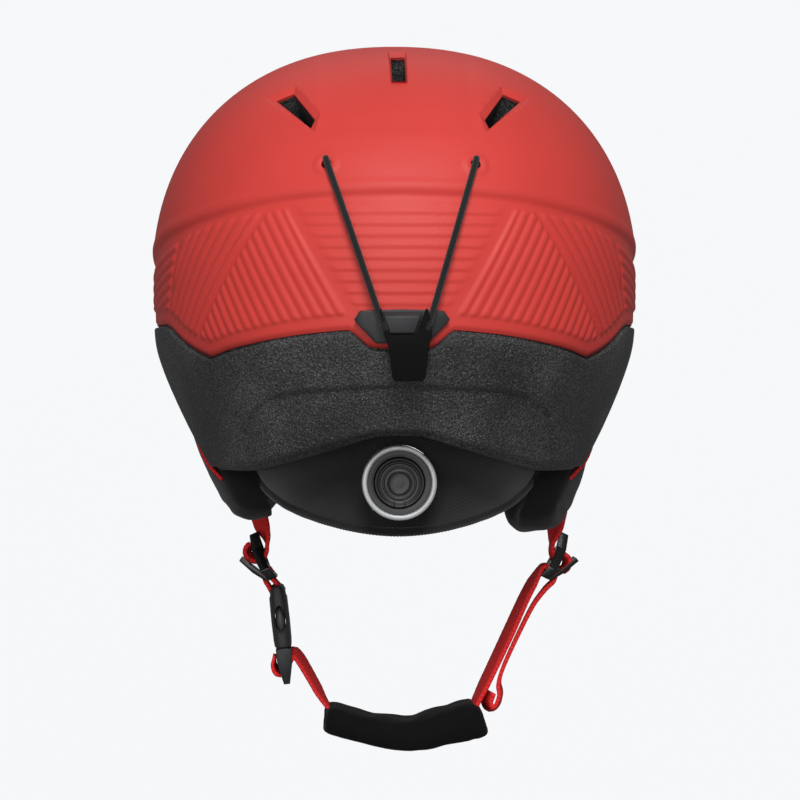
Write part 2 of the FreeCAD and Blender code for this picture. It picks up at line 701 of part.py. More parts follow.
# ---------------------------------------------------------------- chin strap
def divider(name, top, lean):
    """A slotted strap adjuster that hangs from the pivot, with a forked lever on its outer face."""
    body = new_body(name)
    plate = [("-5", "-2.2"), ("-2.6", "4.4"), ("2.6", "4.4"), ("5", "-2.2"), ("11.6", "-12.5"),
             ("10.6", "-18"), ("-10.6", "-18"), ("-11.6", "-12.5")]
    pad(body, draw(body, "YZ_Plane", [plate]), "{divider_thick}", midplane=True)
    lower = [("-9.4", "-15.6"), ("9.4", "-15.6"), ("9.4", "-15.6+{divider_slot}"),
             ("-9.4", "-15.6+{divider_slot}")]
    upper = [("-5.2", "-9.8"), ("5.2", "-9.8"), ("3.2", "-5.2"), ("-3.2", "-5.2")]
    pocket(body, draw(body, "YZ_Plane", [lower]), midplane=True)
    pocket(body, draw(body, "YZ_Plane", [upper]), midplane=True)
    round_edges(body, 1.0, along(0))
    side = "" if top > 0 else "-"
    lever = [("1.4", "-18"), ("3.2", "-17.4"), ("{lever_reach}", "-4.2"),
             ("{lever_reach}-1.6", "-3.4"), ("1.4", "-15.8")]
    fork = [("1.75", "-20"), ("{lever_reach}-3.6", "-20"), ("{lever_reach}-3.6", "0"),
            ("1.75", "0")]
    for outline, step, width in ((lever, pad, "21"), (fork, pocket, "18.9")):
        outline = [(side + "(" + x + ")", z) for x, z in outline]
        step(body, draw(body, "XZ_Plane", [outline]), width, midplane=True)
    body.Placement = Placement(Vector(top, dim("strap_y"), dim("pivot_z")),
                               Rotation(Vector(0, 1, 0), lean))


def buckle_placement():
    """The buckle's own frame: mouth at the origin, strap direction along its Z."""
    turn = Rotation(Vector(0, 1, 0), dim("buckle_tilt"))
    place = Vector(dim("buckle_x"), dim("strap_y"), dim("buckle_z"))
    return Placement(place, turn)


def build_buckle():
    female = new_body("buckle_female")
    w, top = "{buckle_half_width}", "{buckle_length}"
    outline = [("-" + w, "0"), (w, "0"), (w, top + "-5"), (w + "-2", top), ("-" + w + "+2", top),
               ("-" + w, top + "-5")]
    pad(female, draw(female, "YZ_Plane", [outline]), "{buckle_thick}", midplane=True)
    round_edges(female, 2.2, along(2))
    throat = [("-{mouth_half_thick}", "-{mouth_half_width}"),
              ("{mouth_half_thick}", "-{mouth_half_width}"),
              ("{mouth_half_thick}", "{mouth_half_width}"),
              ("-{mouth_half_thick}", "{mouth_half_width}")]
    pocket(female, draw(female, "XY_Plane", [throat]), "{mouth_depth}", reverse=True)
    window = [("-{window_half}", "6.5"), ("{window_half}", "6.5"), ("{window_half}", "19"),
              ("-{window_half}", "19")]
    pocket(female, draw(female, "XZ_Plane", [window]), midplane=True)
    slot = [("-9.8", top + "-5.4"), ("9.8", top + "-5.4"), ("9.8", top + "-2.4"),
            ("-9.8", top + "-2.4")]
    pocket(female, draw(female, "YZ_Plane", [slot]), midplane=True)
    female.Placement = buckle_placement()

    tongue = new_body("buckle_tongue")
    tail = "-{tongue_length}"
    outline = [("-13", "-0.5"), ("-13", "-9"), ("-10.4", tail), ("10.4", tail), ("13", "-9"),
               ("13", "-0.5"), ("3.2", "-0.5"), ("3.2", "14"), ("1.6", "17.4"), ("-1.6", "17.4"),
               ("-3.2", "14"), ("-3.2", "-0.5")]
    pad(tongue, draw(tongue, "YZ_Plane", [outline]), "{prong_thick}", midplane=True)
    body_plate = [("-13", "-0.8"), ("-13", "-9"), ("-10.4", tail), ("10.4", tail), ("13", "-9"),
                  ("13", "-0.8")]
    pad(tongue, draw(tongue, "YZ_Plane", [body_plate]), "{tongue_thick}", midplane=True)
    slot = [("-9.8", "-12.2"), ("9.8", "-12.2"), ("9.8", "-8.6"), ("-9.8", "-8.6")]
    pocket(tongue, draw(tongue, "YZ_Plane", [slot]), midplane=True)
    for side in ("", "-"):
        relief = [(side + "5.4", "-6"), (side + "10.6", "-6"), (side + "10.6", "0"),
                  (side + "5.4", "0")]
        pocket(tongue, draw(tongue, "YZ_Plane", [relief]), midplane=True)
    tongue.Placement = buckle_placement()

    for name, side in (("left", ""), ("right", "-")):
        prong = new_body("buckle_prong_" + name)
        arm = [("6.2", "-4.4"), ("9.4", "-4.4"), ("9.6", "5"), ("10.4", "7.6"), ("10.4", "16.6"),
               ("7.4", "19.4"), ("6.8", "16.6"), ("6.4", "5")]
        arm = [(side + y, z) for y, z in arm]
        pad(prong, draw(prong, "YZ_Plane", [arm]), "{prong_thick}", midplane=True)
        prong.Placement = buckle_placement()


# Webbing middle lines in the XZ plane, and the bend radius of each.
WEBBING = {
    "webbing_left": (2.4, [(55.3, -143.8), (54.7, -150.2), (44.9, -149.1), (31.0, -164.8)]),
    "webbing_right": (1.6, [(-36.8, -163.4), (-68.6, -103.4), (-74.8, -106.4), (-47.8, -158.0),
                            (-44.6, -168.0)]),
}
LOOP_TOP = Vector(58.1, 0, -105.2)
LOOP_FOOT = Vector(53.5, 0, -114.8)


def build_webbing():
    middle, half = dim("strap_y"), dim("strap_half_width")
    thick = dim("strap_thick")
    for name, (bend, points) in WEBBING.items():
        feature(name, ribbon(points, bend, thick, middle - half, middle + half))
    run = (LOOP_TOP - LOOP_FOOT).normalize()
    tilt = math.radians(dim("buckle_tilt"))
    top_side = Vector(run.z, 0, -run.x) * 2.9
    foot_side = Vector(math.cos(tilt), 0, -math.sin(tilt)) * 5.6
    shoulder = LOOP_FOOT + Vector(math.sin(tilt), 0, math.cos(tilt)) * 5.4
    corners = [LOOP_TOP - top_side, LOOP_TOP + top_side, shoulder + foot_side,
               LOOP_FOOT + foot_side, LOOP_FOOT - foot_side, shoulder - foot_side]
    middle_line = Part.makePolygon(corners + corners[:1])
    rings = []
    for grow in (thick / 2, -thick / 2):
        block = Part.Face(middle_line.makeOffset2D(grow, 2)).extrude(Vector(0, 2 * half, 0))
        level_edges = [e for e in block.Edges if abs(e.Length - 2 * half) < 1e-3]
        rings.append(block.makeFillet(1.4 + grow, level_edges))
    ring = rings[0].cut(rings[1])
    ring.translate(Vector(0, middle - half, 0))
    feature("webbing_buckle_loop", ring)
    for name, x in (("left", 64.0), ("right", -78.0)):
        stub = box((x - thick / 2, middle - 5, -85.5), (x + thick / 2, middle + 5, -80.4))
        feature("webbing_upper_" + name, stub)


CHIN_TOP = [(29.5, -166.5), (16, -171.5), (-4, -173.5), (-22, -171), (-35, -165.5)]
CHIN_BOTTOM = [(-43, -178.5), (-26, -185.5), (-5, -188), (18, -185.5), (37.5, -177.5)]


def build_chin_pad():
    edges = []
    for line in (CHIN_TOP, CHIN_BOTTOM):
        curve = Part.BSplineCurve()
        curve.interpolate([Vector(x, 0, z) for x, z in line])
        edges.append(curve.toShape())
    for start, end in ((CHIN_TOP[-1], CHIN_BOTTOM[0]), (CHIN_BOTTOM[-1], CHIN_TOP[0])):
        edges.append(Part.makeLine(Vector(start[0], 0, start[1]), Vector(end[0], 0, end[1])))
    face = Part.Face(Part.Wire(Part.__sortEdges__(edges)))
    half = dim("chin_pad_half_width")
    face.translate(Vector(0, dim("strap_y") - half, 0))
    block = face.extrude(Vector(0, 2 * half, 0))
    feature("chin_pad", block.makeFillet(4.0, block.Edges))


build_shell_and_foam()
build_comfort_pads()
build_neck_panel()
build_housing()
build_dial()
build_fit_band()
build_retainer()
build_retainer_boss()
build_cords_and_tab()
build_ear_pads()
build_pad_hinges()
divider("divider_left", 64.0, 24)
divider("divider_right", -78.0, -26)
build_buckle()
build_webbing()
build_chin_pad()

doc.recompute()
for part in PARTS:
    if "Invalid" in part.State or "Error" in part.State:
        raise RuntimeError("%s is in state %s" % (part.Label, part.State))
    if part.Shape.isNull() or not part.Shape.isValid():
        raise RuntimeError("%s has no valid shape" % part.Label)
    print("%-24s volume %10.1f solids %d" % (part.Label, part.Shape.Volume, len(part.Shape.Solids)))
    part.Shape.exportStep("parts/%s.step" % part.Label)
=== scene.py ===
import json
import math
from contextlib import contextmanager

import bmesh
import bpy
import numpy as np
from mathutils import Matrix, Vector, noise


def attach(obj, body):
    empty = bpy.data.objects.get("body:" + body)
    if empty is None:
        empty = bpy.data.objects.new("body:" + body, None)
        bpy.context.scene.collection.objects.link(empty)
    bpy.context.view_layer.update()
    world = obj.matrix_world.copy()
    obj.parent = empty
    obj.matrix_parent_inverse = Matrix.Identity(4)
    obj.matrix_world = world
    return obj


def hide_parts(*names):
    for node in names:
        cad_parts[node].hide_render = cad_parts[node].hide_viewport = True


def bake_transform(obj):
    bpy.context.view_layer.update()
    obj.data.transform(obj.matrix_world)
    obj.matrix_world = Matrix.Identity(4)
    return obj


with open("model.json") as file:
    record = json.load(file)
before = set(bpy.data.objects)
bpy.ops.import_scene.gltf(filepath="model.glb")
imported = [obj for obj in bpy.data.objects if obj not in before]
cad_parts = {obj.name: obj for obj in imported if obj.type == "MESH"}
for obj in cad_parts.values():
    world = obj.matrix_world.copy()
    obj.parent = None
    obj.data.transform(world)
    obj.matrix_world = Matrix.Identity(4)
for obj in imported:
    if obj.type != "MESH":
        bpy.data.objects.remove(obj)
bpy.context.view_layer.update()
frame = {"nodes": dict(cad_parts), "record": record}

MM = 0.001
TAU = 2 * math.pi


# ================================================================ shared surface formula
# The same dome as the CAD model, in millimetres: +Z up, rear at +Y.
PLAN_POWER = 2.2
DOME_POWER = 2.25
WIDEST_LEVEL = 25.0
HALF_WIDTH = 111.0
REAR_LENGTH = 138.0
FRONT_LENGTH = 136.0
DOME_HEIGHT = 110.0
SHELL_TOP = 134.9
# Below this level the surface draws in, at its own rate to each side.
DRAW_IN_LEVEL = -2.0
DRAW_IN_SOFTNESS = 9.0
SIDE_RATE = 0.37
REAR_RATE = 0.45
FRONT_RATE = 0.20


def draw_in(level, rate):
    fall = rate * (DRAW_IN_LEVEL - level)
    return 0.5 * (fall + np.sqrt(fall * fall + DRAW_IN_SOFTNESS))


def half_sizes(level, inset):
    """Half width, rear length and front length of the surface at each level."""
    level = np.asarray(level, float)
    climb = np.clip((level - WIDEST_LEVEL) / (DOME_HEIGHT - inset), 0.0, 1.0)
    shrink = np.maximum(1.0 - climb ** DOME_POWER, 1e-9) ** (1 / DOME_POWER)
    width = ((HALF_WIDTH - inset) - draw_in(level, SIDE_RATE)) * shrink
    rear = ((REAR_LENGTH - inset) - draw_in(level, REAR_RATE)) * shrink
    front = ((FRONT_LENGTH - inset) - draw_in(level, FRONT_RATE)) * shrink
    return width, rear, front


def dome_point(turn, level, inset=0.0):
    """Points of the surface; turn runs from the rear (0) over the wearer's left (90 degrees)."""
    width, rear, front = half_sizes(level, inset)
    side, back = np.sin(turn), np.cos(turn)
    length = np.where(back > 0, rear, front)
    total = (np.abs(side) / width) ** PLAN_POWER + (np.abs(back) / length) ** PLAN_POWER
    reach = total ** (-1 / PLAN_POWER)
    return np.stack([reach * side, reach * back, level + 0 * reach], axis=-1)


def remaining(size, share):
    """What is left of the section's half size, where the other direction has used its share."""
    inside = np.clip(1 - share ** PLAN_POWER, 0.0, 1.0)
    return size * inside ** (1 / PLAN_POWER)


def depth_at(x, level, inset=0.0):
    """How far back the rear surface lies at x."""
    width, rear, _ = half_sizes(level, inset)
    return remaining(rear, np.abs(x) / width)


def side_at(y, level, inset=0.0):
    """How far out the side surface lies at y."""
    width, rear, front = half_sizes(level, inset)
    return remaining(width, np.abs(y) / np.where(np.asarray(y) > 0, rear, front))


def dome_level(angle, height=DOME_HEIGHT):
    """Level of the dome at an angle, from its widest section (0) to its top (90 degrees)."""
    return WIDEST_LEVEL + height * math.sin(angle) ** (2 / DOME_POWER)


def follow(pairs, value):
    """The second figure of the pairs, read off at the given first figure."""
    return np.interp(value, [p[0] for p in pairs], [p[1] for p in pairs])


def smooth(value):
    value = np.clip(value, 0.0, 1.0)
    return value * value * (3 - 2 * value)


def grid_normals(points):
    """Outward normals of a closed grid of points (rows up, columns round)."""
    along = np.roll(points, -1, axis=1) - np.roll(points, 1, axis=1)
    up = np.gradient(points, axis=0)
    normal = np.cross(along, up)
    size = np.linalg.norm(normal, axis=-1, keepdims=True)
    normal = normal / np.maximum(size, 1e-9)
    centre = points.reshape(-1, 3).mean(axis=0)
    if np.sum(normal * (points - centre)) < 0:
        normal = -normal
    return normal


# ================================================================ mesh helpers
def link_object(name, data):
    obj = bpy.data.objects.new(name, data)
    bpy.context.scene.collection.objects.link(obj)
    return obj


def make_object(name, vertices, faces, uvs=None, smooth_faces=True):
    """A mesh object from points in millimetres."""
    mesh = bpy.data.meshes.new(name)
    mesh.from_pydata([tuple(v) for v in np.asarray(vertices, float) * MM], [], faces)
    if uvs is not None:
        layer = mesh.uv_layers.new(name="UVMap")
        loops = np.zeros(len(mesh.loops), dtype=np.int64)
        mesh.loops.foreach_get("vertex_index", loops)
        layer.data.foreach_set("uv", np.asarray(uvs, float)[loops].ravel())
    if smooth_faces:
        mesh.polygons.foreach_set("use_smooth", [True] * len(mesh.polygons))
    mesh.update()
    return link_object(name, mesh)


def grid_faces(rows, columns, wrap, start=0):
    """Quads of a grid whose vertices are stored row by row."""
    faces = []
    last = columns if wrap else columns - 1
    for row in range(rows - 1):
        base = start + row * columns
        for column in range(last):
            after = (column + 1) % columns
            faces.append((base + column, base + after, base + columns + after,
                          base + columns + column))
    return faces


def capped_faces(rows, sides):
    """Faces of a closed tube of rings, with a cap at each end."""
    faces = grid_faces(rows, sides, True)
    faces.append(tuple(range(sides))[::-1])
    faces.append(tuple(range((rows - 1) * sides, rows * sides)))
    return faces


def closed_shell(name, rings, top_outer, top_inner):
    """A closed solid from rings: outer rings run down from a top point, inner ones up to one."""
    rows, columns = len(rings), rings[0].shape[0]
    vertices = np.vstack(rings + [[(0, 0, top_outer)], [(0, 0, top_inner)]])
    faces = grid_faces(rows, columns, True)
    outer, inner = rows * columns, rows * columns + 1
    base = (rows - 1) * columns
    for column in range(columns):
        after = (column + 1) % columns
        faces.append((outer, after, column))
        faces.append((inner, base + column, base + after))
    return fix_normals(make_object(name, vertices, faces))


@contextmanager
def editing(mesh):
    """The mesh opened for changes, which are written back at the end."""
    work = bmesh.new()
    work.from_mesh(mesh)
    yield work
    work.to_mesh(mesh)
    work.free()


def fix_normals(obj):
    with editing(obj.data) as work:
        bmesh.ops.recalc_face_normals(work, faces=work.faces)
    return obj


def shade_smooth(obj, crisp_degrees=None):
    """Smooth shading; edges sharper than the given angle stay crisp."""
    obj.data.polygons.foreach_set("use_smooth", [True] * len(obj.data.polygons))
    if crisp_degrees is not None:
        obj.data.set_sharp_from_angle(angle=math.radians(crisp_degrees))


def apply_modifiers(obj):
    graph = bpy.context.evaluated_depsgraph_get()
    evaluated = obj.evaluated_get(graph)
    mesh = bpy.data.meshes.new_from_object(evaluated, depsgraph=graph)
    old = obj.data
    obj.modifiers.clear()
    obj.data = mesh
    bpy.data.meshes.remove(old)
    return obj


def cut_away(obj, cutters):
    """Subtract closed solids from a closed solid and drop the cutters."""
    for cutter in cutters:
        step = obj.modifiers.new("Cut", "BOOLEAN")
        step.operation = "DIFFERENCE"
        step.solver = "EXACT"
        step.object = cutter
        apply_modifiers(obj)
    return obj


def remove(objects):
    for obj in objects:
        mesh = obj.data
        bpy.data.objects.remove(obj)
        bpy.data.meshes.remove(mesh)


def dress(obj, material, replaced=()):
    obj.data.materials.clear()
    obj.data.materials.append(material)
    if replaced:
        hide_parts(*replaced)
    return obj


def finish_piece(obj, body, material, replaced=()):
    dress(obj, material, replaced)
    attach(obj, body)
    return obj


# ================================================================ materials
def new_material(name):
    material = bpy.data.materials.new(name)
    material.use_nodes = True
    nodes = material.node_tree.nodes
    return material, nodes, material.node_tree.links, nodes["Principled BSDF"]


def set_inputs(node, values):
    for name, value in values.items():
        node.inputs[name].default_value = value
    return node


def add_noise(nodes, links, scale, detail, coordinates, rough=0.5):
    node = nodes.new("ShaderNodeTexNoise")
    set_inputs(node, {"Scale": scale, "Detail": detail, "Roughness": rough})
    links.new(coordinates, node.inputs["Vector"])
    return node.outputs["Fac"]


def object_coordinates(nodes):
    return nodes.new("ShaderNodeTexCoord").outputs["Object"]


def ramp_color(nodes, links, factor, stops):
    """A colour ramp of (position, colour) stops."""
    node = nodes.new("ShaderNodeValToRGB")
    elements = node.color_ramp.elements
    while len(elements) < len(stops):
        elements.new(0.5)
    for element, (position, color) in zip(elements, stops):
        element.position = position
        element.color = (*color, 1.0)
    links.new(factor, node.inputs["Fac"])
    return node.outputs["Color"]


def ramp_value(nodes, links, factor, low, high):
    node = nodes.new("ShaderNodeMapRange")
    set_inputs(node, {"To Min": low, "To Max": high})
    links.new(factor, node.inputs["Value"])
    return node.outputs["Result"]


def math_node(nodes, links, operation, first, second):
    """A maths node on an output and an output or number."""
    node = nodes.new("ShaderNodeMath")
    node.operation = operation
    links.new(first, node.inputs[0])
    if isinstance(second, float):
        node.inputs[1].default_value = second
    else:
        links.new(second, node.inputs[1])
    return node.outputs["Value"]


def mixed(nodes, links, first, second, share):
    """The share of the first output and the rest of the second one."""
    parts = [math_node(nodes, links, "MULTIPLY", part, amount)
             for part, amount in ((first, share), (second, round(1 - share, 3)))]
    return math_node(nodes, links, "ADD", *parts)


def add_bump(nodes, links, shader, height, distance, strength, before=None):
    node = nodes.new("ShaderNodeBump")
    set_inputs(node, {"Distance": distance, "Strength": strength})
    links.new(height, node.inputs["Height"])
    if before is not None:
        links.new(before, node.inputs["Normal"])
    links.new(node.outputs["Normal"], shader.inputs["Normal"])
    return node.outputs["Normal"]


def shell_material():
    """Matte moulded polycarbonate: faint mottling and fine grain."""
    material, nodes, links, shader = new_material("shell_red")
    place = object_coordinates(nodes)
    broad = add_noise(nodes, links, 14.0, 3.0, place)
    stops = [(0.3, (0.63, 0.050, 0.041)), (0.7, (0.68, 0.057, 0.047))]
    links.new(ramp_color(nodes, links, broad, stops), shader.inputs["Base Color"])
    fine = add_noise(nodes, links, 1400.0, 2.0, place)
    rough = add_noise(nodes, links, 60.0, 4.0, place)
    links.new(ramp_value(nodes, links, rough, 0.47, 0.58), shader.inputs["Roughness"])
    shader.inputs["Specular IOR Level"].default_value = 0.28
    add_bump(nodes, links, shader, fine, 0.00003, 0.6)
    return material


def foam_material():
    """Expanded polystyrene: fused beads about two millimetres across, painted glints (light grey speckles
    in the colour) and pin holes shown only as dots of painted shade.
    """
    material, nodes, links, shader = new_material("foam_black")
    place = object_coordinates(nodes)
    beads, pores = [set_inputs(nodes.new("ShaderNodeTexVoronoi"), {"Scale": scale})
                    for scale in (620.0, 210.0)]
    for cells in (beads, pores):
        links.new(place, cells.inputs["Vector"])
    grain = add_noise(nodes, links, 1500.0, 3.0, place, 0.7)
    broad = add_noise(nodes, links, 25.0, 3.0, place)
    tone = mixed(nodes, links, grain, broad, 0.8)
    # Tone mostly from the fine noise; the top stop (0.15 grey) is painted glints: light speckles standing
    # in for light caught on the beads.
    base = ramp_color(nodes, links, tone, [(0.38, (0.006, 0.006, 0.006)),
                                           (0.52, (0.030, 0.030, 0.031)),
                                           (0.64, (0.15, 0.15, 0.155))])
    # Painted shade: sparse near-black dots where the pin holes are; the surface has no pits there.
    hole = math_node(nodes, links, "LESS_THAN", pores.outputs["Distance"], 0.075)
    mix = nodes.new("ShaderNodeMix")
    mix.data_type = "RGBA"
    links.new(hole, mix.inputs["Factor"])
    links.new(base, mix.inputs["A"])
    mix.inputs["B"].default_value = (0.004, 0.004, 0.004, 1)
    links.new(mix.outputs["Result"], shader.inputs["Base Color"])
    links.new(ramp_value(nodes, links, grain, 0.45, 0.75), shader.inputs["Roughness"])
    shader.inputs["Specular IOR Level"].default_value = 0.5
    first = add_bump(nodes, links, shader, beads.outputs["Distance"], 0.0004, 0.8)
    add_bump(nodes, links, shader, grain, 0.0003, 0.8, first)
    return material


def weave_material(name, dark, light, pitch, from_uv, rough=0.85, sheen=0.3, depth=0.00012):
    """Cloth: two sets of threads crossing, with a little fuzz."""
    material, nodes, links, shader = new_material(name)
    source = nodes.new("ShaderNodeTexCoord").outputs["UV" if from_uv else "Object"]
    heights = []
    for turn in (math.pi / 4, -math.pi / 4):
        spin = nodes.new("ShaderNodeMapping")
        spin.inputs["Rotation"].default_value = (0, 0, turn) if from_uv else (0, turn, 0)
        links.new(source, spin.inputs["Vector"])
        wave = nodes.new("ShaderNodeTexWave")
        wave.wave_type = "BANDS"
        wave.bands_direction = "X"
        wave.inputs["Scale"].default_value = TAU / (pitch * 20.0)
        wave.inputs["Distortion"].default_value = 0.4
        links.new(spin.outputs["Vector"], wave.inputs["Vector"])
        heights.append(wave.outputs["Fac"])
    threads = math_node(nodes, links, "MULTIPLY", heights[0], heights[1])
    fuzz = add_noise(nodes, links, 900.0, 4.0, source, 0.7)
    broad = add_noise(nodes, links, 30.0, 3.0, source)
    tone = mixed(nodes, links, threads, fuzz, 0.7)
    links.new(ramp_color(nodes, links, tone, [(0.15, dark), (0.8, light)]), shader.inputs["Base Color"])
    links.new(ramp_value(nodes, links, broad, rough - 0.08, rough + 0.05), shader.inputs["Roughness"])
    set_inputs(shader, {"Sheen Weight": sheen, "Sheen Roughness": 0.6, "Specular IOR Level": 0.12})
    first = add_bump(nodes, links, shader, threads, depth, 0.7)
    add_bump(nodes, links, shader, fuzz, depth * 0.6, 0.5, first)
    return material


def plastic_material(name, dark, light, rough, gloss=0.5):
    """Moulded nylon with a fine spark-eroded grain and rubbed patches."""
    material, nodes, links, shader = new_material(name)
    place = object_coordinates(nodes)
    broad = add_noise(nodes, links, 45.0, 4.0, place)
    links.new(ramp_color(nodes, links, broad, [(0.3, dark), (0.7, light)]), shader.inputs["Base Color"])
    links.new(ramp_value(nodes, links, broad, rough - 0.06, rough + 0.08), shader.inputs["Roughness"])
    shader.inputs["Specular IOR Level"].default_value = gloss
    fine = add_noise(nodes, links, 2600.0, 2.0, place)
    add_bump(nodes, links, shader, fine, 0.00004, 0.6)
    return material


def ring_material():
    """Satin metallised plastic, faintly brushed."""
    material, nodes, links, shader = new_material("ring_silver")
    place = object_coordinates(nodes)
    broad = add_noise(nodes, links, 120.0, 3.0, place)
    stops = [(0.3, (0.42, 0.43, 0.44)), (0.7, (0.50, 0.51, 0.52))]
    links.new(ramp_color(nodes, links, broad, stops), shader.inputs["Base Color"])
    links.new(ramp_value(nodes, links, broad, 0.38, 0.48), shader.inputs["Roughness"])
    shader.inputs["Metallic"].default_value = 0.35
    fine = add_noise(nodes, links, 3000.0, 2.0, place)
    add_bump(nodes, links, shader, fine, 0.00003, 0.5)
    return material


# Colours are linear. Cloth: dark thread, light thread, pitch in metres, woven along the UV map or
# not, roughness, sheen, depth in metres. Plastic: dark, light, roughness, gloss.
SHELL = shell_material()
FOAM = foam_material()
PANEL_CLOTH = weave_material(
    "neck_mesh", (0.003, 0.003, 0.003), (0.026, 0.026, 0.029), 0.0012, False)
PAD_CLOTH = weave_material(
    "pad_cloth", (0.005, 0.005, 0.006), (0.017, 0.017, 0.019), 0.0008, False, 0.8, 0.15, 0.00006)
CHIN_CLOTH = weave_material(
    "chin_cloth", (0.002, 0.002, 0.0025), (0.007, 0.007, 0.008), 0.0009, False, 0.85, 0.03, 0.00008)
LINER_CLOTH = weave_material(
    "liner_cloth", (0.02, 0.02, 0.022), (0.07, 0.07, 0.075), 0.0012, False)
PIPING_CLOTH = weave_material(
    "piping_cloth", (0.003, 0.003, 0.003), (0.014, 0.014, 0.016), 0.0009, False)
WEBBING = weave_material(
    "webbing_red", (0.72, 0.022, 0.024), (1.0, 0.060, 0.058), 0.0015, True, 0.8, 0.0, 0.0003)
CORD = weave_material(
    "elastic_black", (0.004, 0.004, 0.0045), (0.026, 0.026, 0.028), 0.0010, False, 0.8, 0.2, 0.00015)
PLASTIC = plastic_material("dark_plastic", (0.018, 0.0185, 0.020), (0.026, 0.0265, 0.029), 0.5, 0.4)
TAB_PLASTIC = plastic_material(
    "tab_plastic", (0.002, 0.002, 0.0022), (0.003, 0.003, 0.0034), 0.75, 0.15)
GLOSS_PLASTIC = plastic_material("gloss_plastic", (0.004, 0.004, 0.005), (0.007, 0.007, 0.008), 0.25)
DIAL_PLASTIC = plastic_material("dial_plastic", (0.012, 0.012, 0.013), (0.018, 0.018, 0.019), 0.42)
BUTTON_PLASTIC = plastic_material("button_plastic", (0.05, 0.052, 0.055), (0.065, 0.067, 0.07), 0.4)
RING = ring_material()

# ================================================================ columns round the helmet
def turns_by_length(spacings):
    """Turns (0 to 180 degrees) whose distance along the section follows the given spacing rule."""
    fine = np.linspace(0, math.pi, 4001)
    points = dome_point(fine, np.full(fine.shape, WIDEST_LEVEL))
    steps = np.linalg.norm(np.diff(points, axis=0), axis=1)
    length = np.concatenate([[0.0], np.cumsum(steps)])
    marks = [0.0]
    while marks[-1] < length[-1]:
        step = next(gap for limit, gap in spacings if marks[-1] < limit)
        marks.append(marks[-1] + step)
    marks = np.array(marks) * (length[-1] / marks[-1])
    return np.interp(marks, length, fine)


def all_turns(spacings):
    half = turns_by_length(spacings)
    return np.concatenate([half, -half[1:-1][::-1]])


def lengths_along(points):
    """Signed distance along each row from the rear middle, for columns made by all_turns."""
    rows, columns = points.shape[:2]
    half = columns // 2 + 1
    left = points[:, :half]
    steps = np.linalg.norm(np.diff(left, axis=1), axis=2)
    out = np.concatenate([np.zeros((rows, 1)), np.cumsum(steps, axis=1)], axis=1)
    return np.concatenate([out, -out[:, 1:-1][:, ::-1]], axis=1)


# ================================================================ outer shell
# Lower edge of the shell and top line of the ribbed band, as (distance from the rear middle, z).
SHELL_EDGE = [(0, -4.9), (12.6, -4.6), (15.2, -3.2), (17.7, -0.8), (20.2, 1.5), (22.7, 3.1),
              (28, 2.8), (36, 2.1), (44.5, 1.3), (53.5, 0.1), (63, -1.3), (70, -2.5), (78, -3.8),
              (86.5, -5.3), (92, -6.6), (97, -7.6), (100, -7.6), (105, -6.2), (110, -4.7),
              (115, -2.9), (121, -0.7), (127.4, 2.1), (135, 5.2), (144.5, 7.3), (267, 7.5),
              (310, 3.0), (352, 9.0), (400, 19.5)]
BAND_TOP = [(0, 63.6), (31, 62.8), (53, 61.2), (75, 58.0), (96, 54.8), (118, 51.4), (147, 47.4),
            (205, 38.0), (260, 28.0), (400, 14.0)]
RIB_TOP = [(0, 58.0), (44, 57.4), (51, 55.2), (65, 53.4), (79, 51.7), (99, 48.6), (122, 43.8),
           (148, 38.4), (205, 30.0), (400, 18.0)]
# Level whose section measures the distances of SHELL_EDGE.
EDGE_LEVEL = 5.0
# Pitches of the three fields of ribs, from the middle of the rear round to the side.
RIB_PITCHES = (5.4, 7.2, 4.7)
HOLE_X = 31.7
HOLE_LEVEL = 74.0
SKIN = 2.1


def shell_edge(turns):
    """Level of the shell's lower edge in each column."""
    base = dome_point(turns[None, :], np.array([[EDGE_LEVEL]]))
    return follow(SHELL_EDGE, np.abs(lengths_along(base)[0]))


def rounded_wave(distance, pitch):
    """Rounded ridges with narrower grooves between them, from 0 to 1."""
    return (0.5 + 0.5 * np.cos(TAU * distance / pitch)) ** 0.35


def band_relief(along, level):
    """Height of the moulded band pattern: level ribs at the back, slanting ribs at the sides."""
    s = np.abs(along)
    top = follow(BAND_TOP, s)
    rib_top = follow(RIB_TOP, s)
    foot = follow(SHELL_EDGE, s)
    fade_front = 1 - smooth((s - 205.0) / 40.0)
    drop = smooth((top - level) / 3.2) * fade_front
    lip = np.exp(-((level - top - 1.8) / 2.0) ** 2) * fade_front
    height = -1.5 * drop + 0.45 * lip
    inner = 23.3 + 0.55 * (level - 13.0)
    middle = 65.5 + 0.88 * (53.1 - level)
    outer = 124.5 + 0.53 * (44.2 - level)
    low = smooth((level - foot - 6.0) / 2.0)
    high = smooth((rib_top + 1.0 - level) / 1.8)
    zone_0 = smooth((inner - s + 1.0) / 5.0) * smooth((level - 10.5) / 2.0) * high
    step = (level - 13.5) / 4.85 % 1.0
    shingles = 0.62 * (1 - step) * smooth(step / 0.16) * zone_0
    line = s - 28.1 + 0.523 * (10.5 - level)
    zone_1 = smooth((s - inner - 4.0) / 1.8) * smooth((middle - 3.4 - s) / 1.8) * low * high
    ribs_1 = 0.9 * rounded_wave(line, RIB_PITCHES[0]) * zone_1
    line = s - 65.5 - 0.88 * (53.1 - level)
    zone_2 = smooth((s - middle + 1.2) / 1.2) * smooth((outer - 2.0 - s) / 1.8) * low * high
    ribs_2 = 1.1 * rounded_wave(line, RIB_PITCHES[1]) * zone_2
    line = level + 0.22 * (s - 125.0)
    zone_3 = smooth((s - outer - 1.0) / 2.0) * (1 - smooth((s - 196.0 + 0.5 * level) / 22.0))
    ribs_3 = 1.0 * rounded_wave(line, RIB_PITCHES[2]) * zone_3 * low * high
    return height + (shingles + ribs_1 + ribs_2 + ribs_3)


